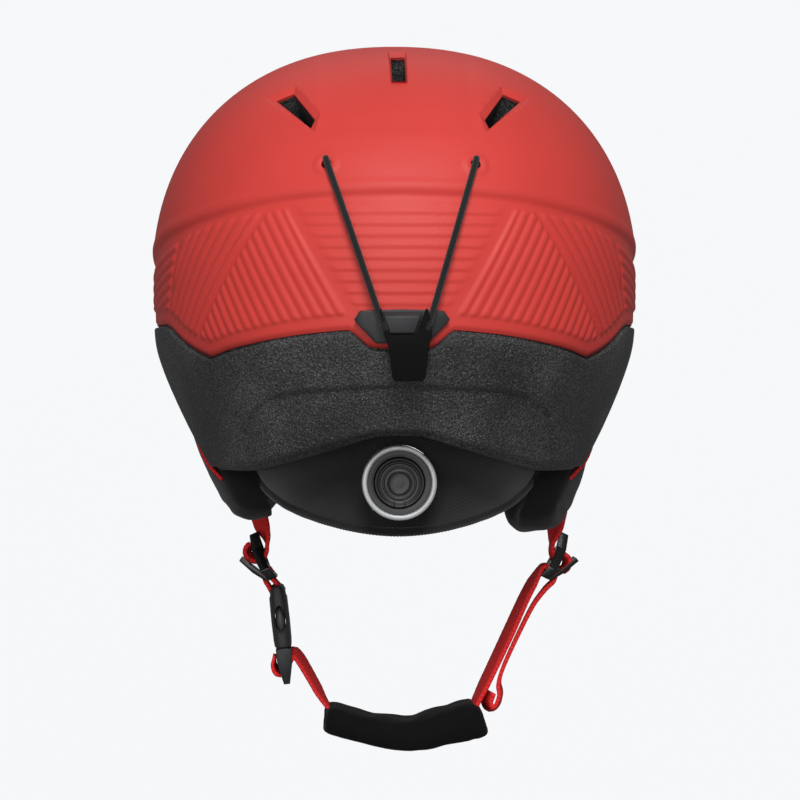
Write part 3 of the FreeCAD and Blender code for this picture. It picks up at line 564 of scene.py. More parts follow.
def hole_mouth(side):
    """Middle of a cord hole, and the way out of it."""
    x = side * HOLE_X
    mouth = Vector((x, float(depth_at(x, HOLE_LEVEL)), HOLE_LEVEL))
    return mouth, Vector((side * 0.22, 0.86, 0.46)).normalized()


def boss_relief(points):
    """A low round boss with a soft rim about each cord hole."""
    height = np.zeros(points.shape[:2])
    for side in (1, -1):
        mouth, _ = hole_mouth(side)
        away = np.linalg.norm(points - np.array(mouth), axis=2)
        height += 0.55 * (1 - smooth((away - 4.6) / 1.6)) - 0.5 * (1 - smooth((away - 1.6) / 1.8))
    return height


def plateau_relief(points):
    """The flatter, slightly sunken field between the rear vents."""
    x, y, z = points[..., 0], points[..., 1], points[..., 2]
    behind = smooth((y - 20.0) / 30.0)
    field = smooth((z - 86.5) / 5.0) * smooth((36.0 - np.abs(x)) / 6.0) * behind
    return -0.7 * field


# The ribbed band ends below this level, and the dome's own spacing begins above the next one.
BAND_END = 66.0
DOME_START = 82.0


def build_shell():
    turns = all_turns([(150, 0.85), (215, 1.3), (500, 4.5)])
    edge = shell_edge(turns)
    levels = [edge + (BAND_END - edge) * share for share in np.linspace(0, 1, 84)]
    levels += [np.full(edge.shape, level) for level in np.arange(BAND_END + 1, DOME_START, 1.0)]
    low = math.asin(((DOME_START - WIDEST_LEVEL) / DOME_HEIGHT) ** (DOME_POWER / 2))
    levels += [np.full(edge.shape, dome_level(angle))
               for angle in np.linspace(low, math.pi / 2, 46)[1:-1]]
    levels = np.array(levels)
    points = dome_point(np.broadcast_to(turns, levels.shape), levels)
    along = lengths_along(points)
    height = band_relief(along, levels) + boss_relief(points) + plateau_relief(points)
    rise = levels - edge[None, :]
    height = height - 0.9 * (1 - smooth(rise / 2.2))
    outer = points + grid_normals(points) * height[..., None]
    inner_levels = [edge + 0.4]
    inner_levels += [edge + (BAND_END - edge) * share for share in (0.15, 0.35, 0.6, 0.85)]
    inner_levels += [np.full(edge.shape, dome_level(angle, DOME_HEIGHT - SKIN))
                     for angle in np.linspace(low, math.pi / 2, 12)[:-1]]
    inner = [dome_point(turns, level, SKIN) for level in inner_levels]
    return closed_shell("shell_skin", list(outer[::-1]) + inner, SHELL_TOP, SHELL_TOP - 2.0)


# ================================================================ foam liner
# Lower edge of the foam: at the nape as (x, z), over the ears as (y, z). Top line of the pressed
# field at the nape as (distance from the rear middle, z).
NAPE = [(0, -41.3), (10, -41.6), (18, -43.4), (25, -45.4), (36, -48.5), (55, -53.5), (70, -57), (140, -58)]
EAR_ARCH = [(-200, 12), (-142, 12), (-100, -5), (-76, -6), (-58, 2), (4, 2), (14, -6), (32, -30),
            (52, -60), (58, -100)]
RELIEF_LINE = [(0, -18.8), (45.6, -21.1), (60, -23.5), (70, -28.0), (75, -32.5), (79, -40.0), (84, -52.0)]


def foam_foot(turns):
    """Lowest level of the foam in each column."""
    levels = np.arange(25.0, -62.0, -0.25)
    points = dome_point(turns[None, :], levels[:, None], 0.5)
    nape = np.where(points[..., 1] > 40, follow(NAPE, np.abs(points[..., 0])), -100.0)
    fits = levels[:, None] >= np.maximum(nape, follow(EAR_ARCH, points[..., 1]))
    return levels[np.argmin(fits, axis=0) - 1]


def foam_relief(along, level):
    """The nape's pressed field, with its curved step, below the shell."""
    s = np.abs(along)
    inside = smooth((follow(RELIEF_LINE, s) - level) / 2.6) * smooth((92.0 - s) / 4.0)
    return -1.3 * inside


def foam_inset(level):
    """How far inside the shell's surface the head space lies."""
    return 28.0 - 0.13 * np.maximum(-level, 0.0)


def build_foam():
    turns = all_turns([(165, 1.5), (215, 2.0), (500, 5.0)])
    edge = shell_edge(turns)
    foot = np.minimum(foam_foot(turns), edge - 3.0)
    rings = []
    for angle in np.linspace(math.pi / 2, 0.0, 24)[1:]:
        level = np.full(edge.shape, dome_level(angle, 107.4))
        rings.append(dome_point(turns, np.maximum(level, edge + 4.0), 2.6))
    for rise, inset in ((2.5, 2.6), (-0.6, 2.6), (-0.8, 1.2)):
        rings.append(dome_point(turns, edge + rise, inset))
    levels = np.array([(edge - 1.4) + (foot - edge + 1.4) * share for share in np.linspace(0, 1, 52)])
    rise = levels - foot[None, :]
    curl = 3.2 - np.sqrt(np.maximum(3.2 ** 2 - np.maximum(3.2 - rise, 0.0) ** 2, 0.0))
    outer = dome_point(np.broadcast_to(turns, levels.shape), levels, 0.7)
    height = foam_relief(lengths_along(outer), levels) - curl
    rings += list(outer + grid_normals(outer) * height[..., None])
    rings.append(dome_point(turns, foot, 5.5))
    rings.append(dome_point(turns, foot, foam_inset(foot) - 2.0))
    for share in np.linspace(0, 1, 9):
        level = foot + 1.5 + (30.0 - foot - 1.5) * share
        rings.append(dome_point(turns, level, foam_inset(level)))
    for angle in np.linspace(0.3, math.pi / 2, 14)[:-1]:
        level = max(dome_level(angle, 82.0), 33.0)
        rings.append(dome_point(turns, np.full(edge.shape, level), 28.0))
    return closed_shell("foam_body", rings, 132.4, 107.0)


# ================================================================ vents
# Outline of the recess and of the opening, as (x, z) for the side vents and (x, y) for the slots.
SIDE_RECESS = [(57.5, 106.2), (45.0, 110.6), (34.2, 97.2), (36.6, 88.6)]
SIDE_OPENING = [(53.2, 104.8), (45.6, 107.8), (36.4, 94.8), (38.2, 90.8)]
SLOT_RECESS = [(-4.0, 54.0), (4.0, 54.0), (3.6, 93.4), (-3.6, 93.4)]
SLOT_OPENING = [(-3.1, 64.0), (3.1, 64.0), (2.9, 93.0), (-2.9, 93.0)]


def dense(outline):
    """The outline with ten points to each side."""
    points = []
    for (ax, ay), (bx, by) in zip(outline, outline[1:] + outline[:1]):
        for step in range(10):
            share = step / 10
            points.append((ax + (bx - ax) * share, ay + (by - ay) * share))
    return points


def rear_point(x, z):
    return Vector((x, float(depth_at(x, z)), z))


def crown_point(x, y):
    """The surface point above (x, y)."""
    low, high = 60.0, SHELL_TOP
    for _ in range(40):
        level = 0.5 * (low + high)
        width, rear, front = half_sizes(level, 0.0)
        length = rear if y > 0 else front
        inside = (abs(x) / width) ** PLAN_POWER + (abs(y) / length) ** PLAN_POWER
        low, high = (level, high) if inside < 1 else (low, level)
    return Vector((x, y, 0.5 * (low + high)))


def vent_rings(side, slot, front):
    """Rings of a vent: above the surface, at it, at the throat, and deep inside."""
    if slot:
        mouth = [crown_point(x, y) for x, y in dense(SLOT_RECESS)]
        throat = [crown_point(x, y) for x, y in dense(SLOT_OPENING)]
        inward = Vector((0, -0.45, -0.9)).normalized()
    else:
        mouth = [rear_point(x, z) for x, z in dense(SIDE_RECESS)]
        throat = [rear_point(x, z) for x, z in dense(SIDE_OPENING)]
        inward = Vector((-0.28, -0.55, -0.79)).normalized()
    ledge = Vector((0, -1.8, -0.7))
    rings = [[p - inward * 4.0 for p in mouth], mouth, [p + ledge for p in throat],
             [p + ledge + inward * 44.0 for p in throat]]
    flip = Matrix.Diagonal((side, -1 if front else 1, 1))
    return [[flip @ p for p in ring] for ring in rings]


def ring_solid(name, rings):
    vertices = [p for ring in rings for p in ring]
    faces = capped_faces(len(rings), len(rings[0]))
    return fix_normals(make_object(name, vertices, faces, smooth_faces=False))


def grown(ring, margin):
    centre = sum(ring, Vector()) / len(ring)
    return [p + (p - centre).normalized() * margin for p in ring]


def build_vents(shell, foam):
    shell_cutters, foam_cutters = [], []
    for front in (False, True):
        for side, slot in ((1, False), (-1, False), (1, True)):
            rings = vent_rings(side, slot, front)
            label = "%s_%s" % ("front" if front else "rear", "slot" if slot else
                               ("left" if side > 0 else "right"))
            shell_cutters.append(ring_solid("cut_a", rings))
            foam_cutters.append(ring_solid("cut_b", [grown(ring, 0.8) for ring in rings]))
            cup = [grown(rings[1], -0.05), rings[2],
                   [p + (q - p) * 0.025 for p, q in zip(rings[2], rings[3])]]
            faces = grid_faces(3, len(cup[0]), True)
            wall = make_object("vent_cup_" + label, [p for r in cup for p in r], faces,
                               smooth_faces=False)
            fix_normals(wall)
            finish_piece(wall, "helmet", SHELL)
    for side in (1, -1):
        mouth, out = hole_mouth(side)
        across = out.orthogonal().normalized()
        ring = [Matrix.Rotation(TAU * step / 24, 3, out) @ across * 2.15 for step in range(24)]
        rings = [[mouth + out * 4 + p for p in ring], [mouth - out * 9 + p for p in ring]]
        shell_cutters.append(ring_solid("cut_c", rings))
        foam_cutters.append(ring_solid("cut_d", rings))
    cut_away(shell, shell_cutters)
    cut_away(foam, foam_cutters)
    remove(shell_cutters + foam_cutters)


shell = build_shell()
foam = build_foam()
build_vents(shell, foam)
finish_piece(shell, "helmet", SHELL, ["outer_shell", "cord_bosses"])
finish_piece(foam, "helmet", FOAM, ["eps_liner"])

# ================================================================ pieces made from the CAD shapes
def copy_node(node, name):
    source = frame["nodes"][node]
    mesh = source.data.copy()
    mesh.name = name
    mesh.transform(source.matrix_world)
    with editing(mesh) as work:
        bmesh.ops.remove_doubles(work, verts=work.verts, dist=0.00002)
    return link_object(name, mesh)


def bevel(obj, width, segments, degrees):
    """Round the edges sharper than the given angle."""
    step = obj.modifiers.new("Edges", "BEVEL")
    step.width = width * MM
    step.segments = segments
    step.limit_method = "ANGLE"
    step.angle_limit = math.radians(degrees)
    apply_modifiers(obj)
    shade_smooth(obj, 32)


def soften(node, body, material, width):
    """A hard part with its moulded edges rounded."""
    obj = copy_node(node, node + "_body")
    with editing(obj.data) as work:
        bmesh.ops.dissolve_limit(work, angle_limit=math.radians(2), verts=work.verts,
                                 edges=work.edges)
    bevel(obj, width, 2, 38)
    return finish_piece(obj, body, material, [node])


def add_blob(obj, centre, radii):
    """Join an ellipsoid (millimetres) to a mesh before it is remeshed."""
    place = Matrix.Translation(Vector(centre) * MM) @ Matrix.Diagonal((*[r * MM for r in radii], 1.0))
    with editing(obj.data) as work:
        bmesh.ops.create_icosphere(work, subdivisions=3, radius=1.0, matrix=place)


def shrink(obj, amount):
    with editing(obj.data) as work:
        bmesh.ops.recalc_face_normals(work, faces=work.faces)
        work.normal_update()
        for vertex in work.verts:
            vertex.co -= vertex.normal * amount * MM


def remesh(obj, voxel):
    step = obj.modifiers.new("Remesh", "REMESH")
    step.mode = "VOXEL"
    step.voxel_size = voxel * MM
    step.use_smooth_shade = True
    apply_modifiers(obj)


def relax(obj, rounds):
    step = obj.modifiers.new("Relax", "SMOOTH")
    step.iterations = rounds
    step.factor = 0.5
    apply_modifiers(obj)


def subdivide(obj):
    step = obj.modifiers.new("Finer", "SUBSURF")
    step.levels = 1
    step.render_levels = 1
    apply_modifiers(obj)


def points_of(obj, what="co"):
    """Places of the vertices in metres, or their normals."""
    flat = np.zeros(len(obj.data.vertices) * 3, np.float64)
    obj.data.vertices.foreach_get(what, flat)
    return flat.reshape(-1, 3)


def set_points(obj, points):
    obj.data.vertices.foreach_set("co", points.ravel())
    obj.data.update()


CLOTH_FRAMES = 20
CLOTH_PRESSURE = 4.0


def inflate(obj, cap):
    """Blow the cloth up from inside, and hold every point within the cap of where it began."""
    before = points_of(obj)
    scene = bpy.context.scene
    step = obj.modifiers.new("Cloth", "CLOTH")
    step.settings.quality = 5
    step.settings.mass = 0.25
    step.settings.use_pressure = True
    step.settings.uniform_pressure_force = CLOTH_PRESSURE
    step.settings.tension_stiffness = 18
    step.settings.compression_stiffness = 18
    step.settings.bending_stiffness = 0.8
    step.settings.effector_weights.gravity = 0.0
    step.collision_settings.use_collision = False
    step.point_cache.frame_start = 1
    step.point_cache.frame_end = CLOTH_FRAMES
    for number in range(1, CLOTH_FRAMES + 1):
        scene.frame_set(number)
    apply_modifiers(obj)
    scene.frame_set(1)
    moved = points_of(obj) - before
    far = np.linalg.norm(moved, axis=1, keepdims=True)
    set_points(obj, before + moved * np.minimum(1.0, cap * MM / np.maximum(far, 1e-9)))


def wrinkle(obj, scale, depth, stretch=(1, 1, 1)):
    """Shallow soft folds, pushed along the normals."""
    normals = points_of(obj, "normal")
    points = points_of(obj)
    sizes = np.array(stretch)
    amounts = [noise.noise(Vector(p / MM / scale * sizes)) for p in points]
    set_points(obj, points + normals * np.array(amounts)[:, None] * depth * MM)


def press_groove(obj, line, width, depth):
    """Sink the surface along a sewn line (millimetres)."""
    points = points_of(obj)
    normals = points_of(obj, "normal")
    away = np.full(len(points), 1e9)
    for a, b in zip(line[:-1], line[1:]):
        a, b = np.array(a, float) * MM, np.array(b, float) * MM
        run = b - a
        share = np.clip((points - a) @ run / (run @ run), 0, 1)
        away = np.minimum(away, np.linalg.norm(points - a - share[:, None] * run, axis=1))
    amount = depth * MM * np.exp(-(away / (width * MM)) ** 2)
    set_points(obj, points - normals * amount[:, None])


def soft_piece(obj, body, material, replaced):
    shade_smooth(obj)
    finish_piece(obj, body, material, replaced)


# ================================================================ ribbons and tubes
def smooth_path(points, count):
    """A curve through the points, evenly sampled."""
    p = [Vector(q) for q in points]
    p = [p[0] * 2 - p[1]] + p + [p[-1] * 2 - p[-2]]
    fine = []
    for i in range(1, len(p) - 2):
        for step in range(24):
            t = step / 24
            fine.append(0.5 * ((2 * p[i]) + (p[i + 1] - p[i - 1]) * t
                        + (2 * p[i - 1] - 5 * p[i] + 4 * p[i + 1] - p[i + 2]) * t * t
                        + (3 * p[i] - p[i - 1] - 3 * p[i + 1] + p[i + 2]) * t ** 3))
    fine.append(p[-2])
    gaps = [0.0]
    for a, b in zip(fine[:-1], fine[1:]):
        gaps.append(gaps[-1] + (b - a).length)
    out = []
    for step in range(count):
        want = gaps[-1] * step / (count - 1)
        index = min(max(int(np.searchsorted(gaps, want)) - 1, 0), len(fine) - 2)
        share = (want - gaps[index]) / max(gaps[index + 1] - gaps[index], 1e-9)
        out.append(fine[index].lerp(fine[index + 1], min(max(share, 0.0), 1.0)))
    return out, gaps[-1]


def run_at(line, index):
    return (line[min(index + 1, len(line) - 1)] - line[max(index - 1, 0)]).normalized()


def tube_mesh(name, points, radius, sides, ribs, pitch):
    """A round cord or welt through the points; ribs gives it a corded surface."""
    _, length = smooth_path(points, 4)
    count = max(int(length / 0.7), 8)
    line, length = smooth_path(points, count)
    vertices, uvs = [], []
    across = (line[1] - line[0]).orthogonal().normalized()
    for index, place in enumerate(line):
        run = run_at(line, index)
        across = (across - run * across.dot(run)).normalized()
        other = run.cross(across)
        travel = length * index / (count - 1)
        swell = radius + ribs * math.sin(TAU * travel / pitch)
        if index in (0, count - 1):
            swell *= 0.55
        for side in range(sides):
            turn = TAU * side / sides
            vertices.append(place + (across * math.cos(turn) + other * math.sin(turn)) * swell)
            uvs.append((TAU * radius * side / sides * MM, travel * MM))
    return fix_normals(make_object(name, vertices, capped_faces(count, sides), uvs))


def webbing_mesh(name, points, width, thick, twist):
    """Flat webbing whose width lies along Y; its edges are rounded and slightly uneven.

    The twist holds shares of the length and the turns there, in radians.
    """
    _, length = smooth_path(points, 4)
    count = max(int(length / 1.0), 10)
    line, length = smooth_path(points, count)
    section = [(-0.5 + step / 8, 0.5) for step in range(9)] + [(0.515, 0.2), (0.515, -0.2)]
    section += [(-u, -v) for u, v in section]
    vertices, uvs = [], []
    for index, place in enumerate(line):
        run = run_at(line, index)
        travel = index / (count - 1)
        turn = np.interp(travel, *twist)
        wide = Vector((math.sin(turn) * run.z, math.cos(turn), -math.sin(turn) * run.x)).normalized()
        wide = (wide - run * wide.dot(run)).normalized()
        normal = run.cross(wide)
        wave = 0.12 * math.sin(travel * length * 1.9)
        for u, v in section:
            vertices.append(place + wide * u * width + normal * (v * thick + wave * abs(u) ** 3 * 2))
            uvs.append((u * width * MM, travel * length * MM))
    return fix_normals(make_object(name, vertices, capped_faces(count, len(section)), uvs))


# ================================================================ ear pads
def surface_line(triples, side):
    """A line near the side surface through (y, z, how far inside it)."""
    return [(side * float(side_at(y, z, inset)), y, z) for y, z, inset in triples]


# Fuller lower ends of the pads, as (centre, radii) of ellipsoids.
EAR_FULLNESS = {
    "left": [((57.0, 20.0, -66.0), (10.0, 17.0, 13.0)), ((60.0, -8.0, -60.0), (8.0, 24.0, 16.0))],
    "right": [((-55.0, 20.0, -75.0), (9.5, 17.0, 15.0)), ((-60.0, -8.0, -62.0), (8.0, 24.0, 18.0))]}
EAR_HEM = [(44, -72), (30, -78), (8, -74), (-16, -72), (-36, -66)]
EAR_SEAM = [(44, -68), (33, -40), (20, -16), (2, -5)]


def build_ear_pad(side, name):
    obj = copy_node("ear_pad_" + name, "ear_cushion_" + name)
    for centre, radii in EAR_FULLNESS[name]:
        add_blob(obj, centre, radii)
    remesh(obj, 2.5)
    shrink(obj, 2.0)
    remesh(obj, 4.5)
    relax(obj, 3)
    inflate(obj, 4.0)
    points = points_of(obj)
    points[:, 2] += 0.004 * np.clip((points[:, 2] + 0.022) / 0.018, 0, 1)
    if side > 0:
        points[:, 2] += 0.0045 * np.clip((-0.045 - points[:, 2]) / 0.045, 0, 1)
    set_points(obj, points)
    subdivide(obj)
    wrinkle(obj, 17.0, 0.8, (1, 0.6, 1))
    wrinkle(obj, 6.0, 0.25)
    for pairs, depth in ((EAR_HEM, 1.3), (EAR_SEAM, 1.0)):
        press_groove(obj, surface_line([(y, z, 5.0) for y, z in pairs], side), 1.6, depth)
    soft_piece(obj, "ear_" + name, PAD_CLOTH,
               ["ear_pad_" + name, "strap_sleeve_" + name])


for side, name in ((1, "left"), (-1, "right")):
    build_ear_pad(side, name)

# ================================================================ comfort pads and neck panel
for node in ("comfort_crown", "comfort_brow", "comfort_side_left", "comfort_side_right",
             "comfort_rear"):
    cushion = copy_node(node, node + "_cushion")
    shrink(cushion, 0.5)
    remesh(cushion, 3.0)
    relax(cushion, 6)
    wrinkle(cushion, 12.0, 0.7)
    soft_piece(cushion, "helmet", LINER_CLOTH, [node])

DIAL_LEVEL = -61.8
# Lower edge of the neck panel, as (x, z); the dial looks out through a round hole in it.
PANEL_LINE = [(-64.2, -57.0), (-57.8, -65.6), (-48.2, -72.6), (-34, -78.0), (-17, -82.0), (0, -83.5),
              (17, -82.0), (34, -78.0), (48.2, -72.6), (57.8, -65.6), (64.2, -57.0)]


def panel_point(x, z, depth):
    """A point of the neck panel, depth millimetres in from its outer face."""
    inset = 28.8 - 0.13 * max(0.0, -z) + depth
    return Vector((x, float(depth_at(x, z, inset)), z))


def build_neck_panel():
    """Quilted cloth panel round the dial, with its binding."""
    columns, rows = 129, 44
    xs = np.linspace(-64, 64, columns)
    feet = follow(PANEL_LINE, xs)
    front, back = [], []
    for row in range(rows):
        share = row / (rows - 1)
        for x, foot in zip(xs, feet):
            z = foot + (-30.0 - foot) * share
            edge = min(share * 60.0, (64.0 - abs(x)) * 1.2)
            crown = 2.2 * (1 - math.exp(-edge / 6.0))
            away = math.hypot(x, z - DIAL_LEVEL)
            crown -= 1.6 * math.exp(-((away - 17.0) / 3.5) ** 2)
            crown += 0.35 * noise.noise(Vector((x / 16, z / 9, 2.0)))
            front.append(panel_point(x, z, 2.4 - crown))
            back.append(panel_point(x, z, 6.0))
    count = rows * columns
    faces = grid_faces(rows, columns, False)
    faces += [tuple(i + count for i in f[::-1]) for f in grid_faces(rows, columns, False)]
    rim = list(range(columns)) + [r * columns + columns - 1 for r in range(1, rows)]
    rim += [(rows - 1) * columns + c for c in range(columns - 2, -1, -1)]
    rim += [r * columns for r in range(rows - 2, 0, -1)]
    for a, b in zip(rim, rim[1:] + rim[:1]):
        faces.append((b, a, a + count, b + count))
    obj = fix_normals(make_object("neck_cloth", front + back, faces))
    cutter = ring_solid("cut_e", [[Vector((16.4 * math.cos(TAU * k / 64), y,
                                           DIAL_LEVEL + 16.4 * math.sin(TAU * k / 64)))
                                   for k in range(64)] for y in (40.0, 130.0)])
    cut_away(obj, [cutter])
    remove([cutter])
    soft_piece(obj, "helmet", PANEL_CLOTH, ["neck_panel"])
    line = [panel_point(x, z, 2.6) for x, z in PANEL_LINE]
    binding = tube_mesh("neck_binding", line, 2.1, 14, 0.14, 1.5)
    finish_piece(binding, "helmet", PIPING_CLOTH, ["neck_piping"])


build_neck_panel()


# ================================================================ dial
def lathe(name, profile):
    """A turned part about the dial's axis; the profile is (radius, y)."""
    turns = 128
    vertices = []
    for radius, y in profile:
        for turn in TAU * np.arange(turns) / turns:
            vertices.append((radius * math.cos(turn), y, DIAL_LEVEL + radius * math.sin(turn)))
    faces = grid_faces(len(profile), turns, True)
    for row in (0, len(profile) - 1):
        faces.append(tuple(range(row * turns, (row + 1) * turns)))
    obj = fix_normals(make_object(name, vertices, faces))
    obj.data.set_sharp_from_angle(angle=math.radians(40))
    return obj


def round_rise(radius, half, low, high):
    """Profile points over one raised ring."""
    return [(radius + half * math.cos(turn), low + (high - low) * math.sin(turn))
            for turn in (math.pi * step / 6 for step in range(7))]


def build_dial():
    face = 98.0
    profile = [(0.01, 84.0), (10.4, 84.0), (10.4, 95.4)]
    profile += round_rise(10.2, 0.55, face - 1.1, face - 0.5)
    profile += round_rise(8.9, 0.35, face - 1.3, face - 0.9)
    profile += [(8.2, face - 1.5), (7.5, face - 1.4)]
    profile += round_rise(6.9, 0.5, face - 1.1, face - 0.45)
    profile += [(6.1, face - 1.2), (5.3, face - 1.0)]
    profile += round_rise(4.7, 0.4, face - 0.9, face - 0.35)
    profile += [(4.0, face - 1.0), (2.0, face - 0.85), (0.01, face - 0.8)]
    knob = lathe("dial_face", profile)
    finish_piece(knob, "dial", DIAL_PLASTIC, ["dial_knob"])
    nibs = link_object("dial_nibs", bpy.data.meshes.new("dial_nibs"))
    size = Matrix.Diagonal((0.5 * MM, 0.5 * MM, 1.3 * MM, 1))
    with editing(nibs.data) as work:
        for lean in (-14, 14):
            turn = math.radians(-90 + lean)
            spot = Vector((9.3 * math.cos(turn), face - 0.7, DIAL_LEVEL + 9.3 * math.sin(turn)))
            bmesh.ops.create_icosphere(work, subdivisions=2, radius=1.0,
                                       matrix=Matrix.Translation(spot * MM) @ size)
    finish_piece(nibs, "dial", DIAL_PLASTIC)
    ring = lathe("dial_silver", [(13.9, 72.0), (13.9, 98.2), (14.15, 98.75), (14.5, 98.95),
                                 (15.7, 98.95), (16.0, 98.7), (16.15, 98.2), (16.15, 72.0)])
    finish_piece(ring, "helmet", RING, ["dial_ring"])
    bezel = lathe("dial_bezel_dish", [(10.9, 90.0), (10.9, 95.6), (11.3, 96.1), (13.4, 96.5),
                                      (13.85, 96.4), (13.85, 90.0)])
    finish_piece(bezel, "helmet", DIAL_PLASTIC, ["dial_bezel"])


build_dial()

# ================================================================ goggle-strap retainer
for node in ("retainer_base", "retainer_boss"):
    soften(node, "helmet", PLASTIC, 0.5)

TAB_PLACE = Vector((0, 143.1, 5.6))
TAB_OUTLINE = [(9.3, 6.6), (8.9, 2.2), (7.5, -4.6), (5.9, -9.0), (4.1, -22.4), (3.0, -23.8),
               (-8.6, -23.8), (-9.7, -22.4), (-11.2, -9.0), (-12.4, -4.6), (-12.2, 1.0),
               (-10.6, 6.6), (-9.9, 6.6), (-5.9, -4.3), (5.9, -4.3), (8.8, 6.6)]


def build_tab():
    """Rubbery pull tab: plate and two arms, one outline with well rounded edges."""
    tilt = Matrix.Rotation(math.radians(-8), 3, "X")
    count = len(TAB_OUTLINE)
    vertices = []
    for depth in (1.5, -1.5):
        for x, z in TAB_OUTLINE:
            thin = 0.55 if z > 0 else 1.0
            vertices.append(TAB_PLACE + tilt @ Vector((x, depth * thin, z)))
    faces = [tuple(range(count)), tuple(range(count, 2 * count))[::-1]]
    for a in range(count):
        b = (a + 1) % count
        faces.append((b, a, a + count, b + count))
    obj = fix_normals(make_object("retainer_pull_tab", vertices, faces))
    bevel(obj, 0.6, 3, 25)
    finish_piece(obj, "retainer_tab", TAB_PLASTIC, ["retainer_tab"])


def build_cords():
    """The two elastic cords, from their holes over the band to the tab."""
    for side, name in ((1, "left"), (-1, "right")):
        top = Vector((side * HOLE_X, 125.4, 75.4))
        low = Vector((side * 9.7 - 1.5, TAB_PLACE.y, TAB_PLACE.z))
        knee = top.lerp(low, 0.42)
        knee.y = float(depth_at(knee.x, knee.z)) + 3.9
        inside = top + Vector((side * -0.3, -1.2, 0.5))
        bow = Vector((0, 0.35, 0))
        ways = [inside, top, top.lerp(knee, 0.5) + bow, knee + Vector((0, -0.5, 0)),
                knee.lerp(low, 0.5) + bow, low, low + Vector((side * -0.6, -0.9, -2.2))]
        cord = tube_mesh("elastic_" + name, ways, 1.38, 16, 0.05, 1.4)
        dress(cord, CORD, ["cord_" + name])
        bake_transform(cord)


build_tab()
build_cords()


# ================================================================ chin strap
STRAP_Y = -5.0
STRAP_WIDTH = 18.0
STRAP_THICK = 1.9


def strap_line(pairs):
    return [(x, STRAP_Y, z) for x, z in pairs]


def strap_piece(name, pairs, width, replaced, twist):
    obj = webbing_mesh(name, strap_line(pairs), width, STRAP_THICK, twist)
    finish_piece(obj, "chin_strap", WEBBING, [replaced])


FLAT = ([0, 1], [0, 0])
STUB_TWIST = ([0.0, 0.22, 0.45, 0.75, 1.0], [0.8, 0.65, 0.0, 0.25, 0.2])
BUCKLE_TWIST = ([0.0, 0.2, 0.5, 0.8, 1.0], [0.0, 0.14, 0.17, 0.14, 0.0])
DOUBLE_TWIST = ([0, 0.08, 0.25, 0.40, 0.45, 0.6, 0.85, 1],
                [-0.05, -0.13, -0.15, -0.12, 0.0, -0.06, -0.08, -0.2])
# Ways of the webbing as (x, z): the stubs below the pads, the doubled strap on the right with its
# curled end, the loop above the buckle, and the piece from the chin pad to the buckle.
STUB_LEFT = [(62.6, -77), (60.8, -84), (58.6, -90), (58.6, -95), (60.9, -98.9), (64.4, -99.2),
             (67.4, -97.0), (67.2, -93.8), (65.7, -92.8)]
STUB_RIGHT = [(-76.0, -77), (-74.4, -86), (-73.2, -92), (-73.2, -96.5), (-74.9, -99),
              (-78.2, -98.0), (-80.2, -100.2), (-79.4, -103.4), (-77.6, -104.6)]
DOUBLE_RIGHT = [(-36.0, -169.0), (-39.0, -163.0), (-46.0, -148.4), (-53.5, -132.4), (-61.0, -116.0),
                (-67.4, -104.6), (-69.6, -102.6), (-72.2, -103.2), (-74.4, -106.0), (-73.4, -109.8),
                (-70.2, -113.0), (-64.6, -120.4), (-58.6, -132.0), (-51.2, -148.0), (-48.6, -156.4),
                (-49.2, -161.6), (-47.6, -167.0), (-44.6, -168.6), (-43.0, -165.2), (-44.2, -160.4)]
LOOP_LEFT = [(57.0, -108.5), (56.6, -105.0), (58.2, -103.2), (59.9, -104.8), (59.3, -108.6),
             (57.4, -112.0), (55.4, -115.2), (52.6, -115.6), (52.4, -112.4), (54.6, -109.6),
             (56.6, -107.4)]
BUCKLE_TO_CHIN = [(29.0, -168.4), (32.0, -164.6), (38.2, -153.6), (43.2, -145.2), (46.2, -142.3),
                  (48.4, -145.2), (50.4, -149.6), (53.2, -151.4), (55.3, -148.2), (54.9, -143.6)]
BRANCH = [(25, -32, 8.0), (27, -38, 5.5), (29.5, -46, 4.2), (31.5, -54, 4.4), (32.5, -62, 8.0)]


def build_straps():
    strap_piece("webbing_stub_left", STUB_LEFT, 9.8, "webbing_upper_left", STUB_TWIST)
    strap_piece("webbing_stub_right", STUB_RIGHT, 9.8, "webbing_upper_right", STUB_TWIST)
    strap_piece("webbing_right_ribbon", DOUBLE_RIGHT, STRAP_WIDTH, "webbing_right", DOUBLE_TWIST)
    low = webbing_mesh("webbing_left_ribbon", strap_line(BUCKLE_TO_CHIN), STRAP_WIDTH, 1.6,
                       BUCKLE_TWIST)
    dress(low, WEBBING, ["webbing_left"])
    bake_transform(low)
    strap_piece("webbing_loop_ribbon", LOOP_LEFT, STRAP_WIDTH, "webbing_buckle_loop", FLAT)
    for side, name in ((1, "left"), (-1, "right")):
        branch = webbing_mesh("webbing_branch_" + name, surface_line(BRANCH, side), 14.0, 1.5, FLAT)
        finish_piece(branch, "ear_" + name, WEBBING, ["strap_branch_" + name])


BUCKLE_FRAME = (Matrix.Translation(Vector((50.9, STRAP_Y, -139.3)))
                @ Matrix.Rotation(math.radians(6), 4, "Y"))


def loft_block(name, stations):
    """A rounded body along the buckle's own Z; stations hold level, half thickness, half width."""
    power, sides = 3.6, 48
    vertices = []
    for level, thick, wide in stations:
        for step in range(sides):
            turn = TAU * step / sides
            c, s = math.cos(turn), math.sin(turn)
            x = thick * math.copysign(abs(c) ** (2 / power), c)
            y = wide * math.copysign(abs(s) ** (2 / power), s)
            vertices.append(BUCKLE_FRAME @ Vector((x, y, level)))
    return fix_normals(make_object(name, vertices, capped_faces(len(stations), sides)))


def buckle_cutter(name, rings):
    return ring_solid(name, [[BUCKLE_FRAME @ Vector(p) for p in ring] for ring in rings])


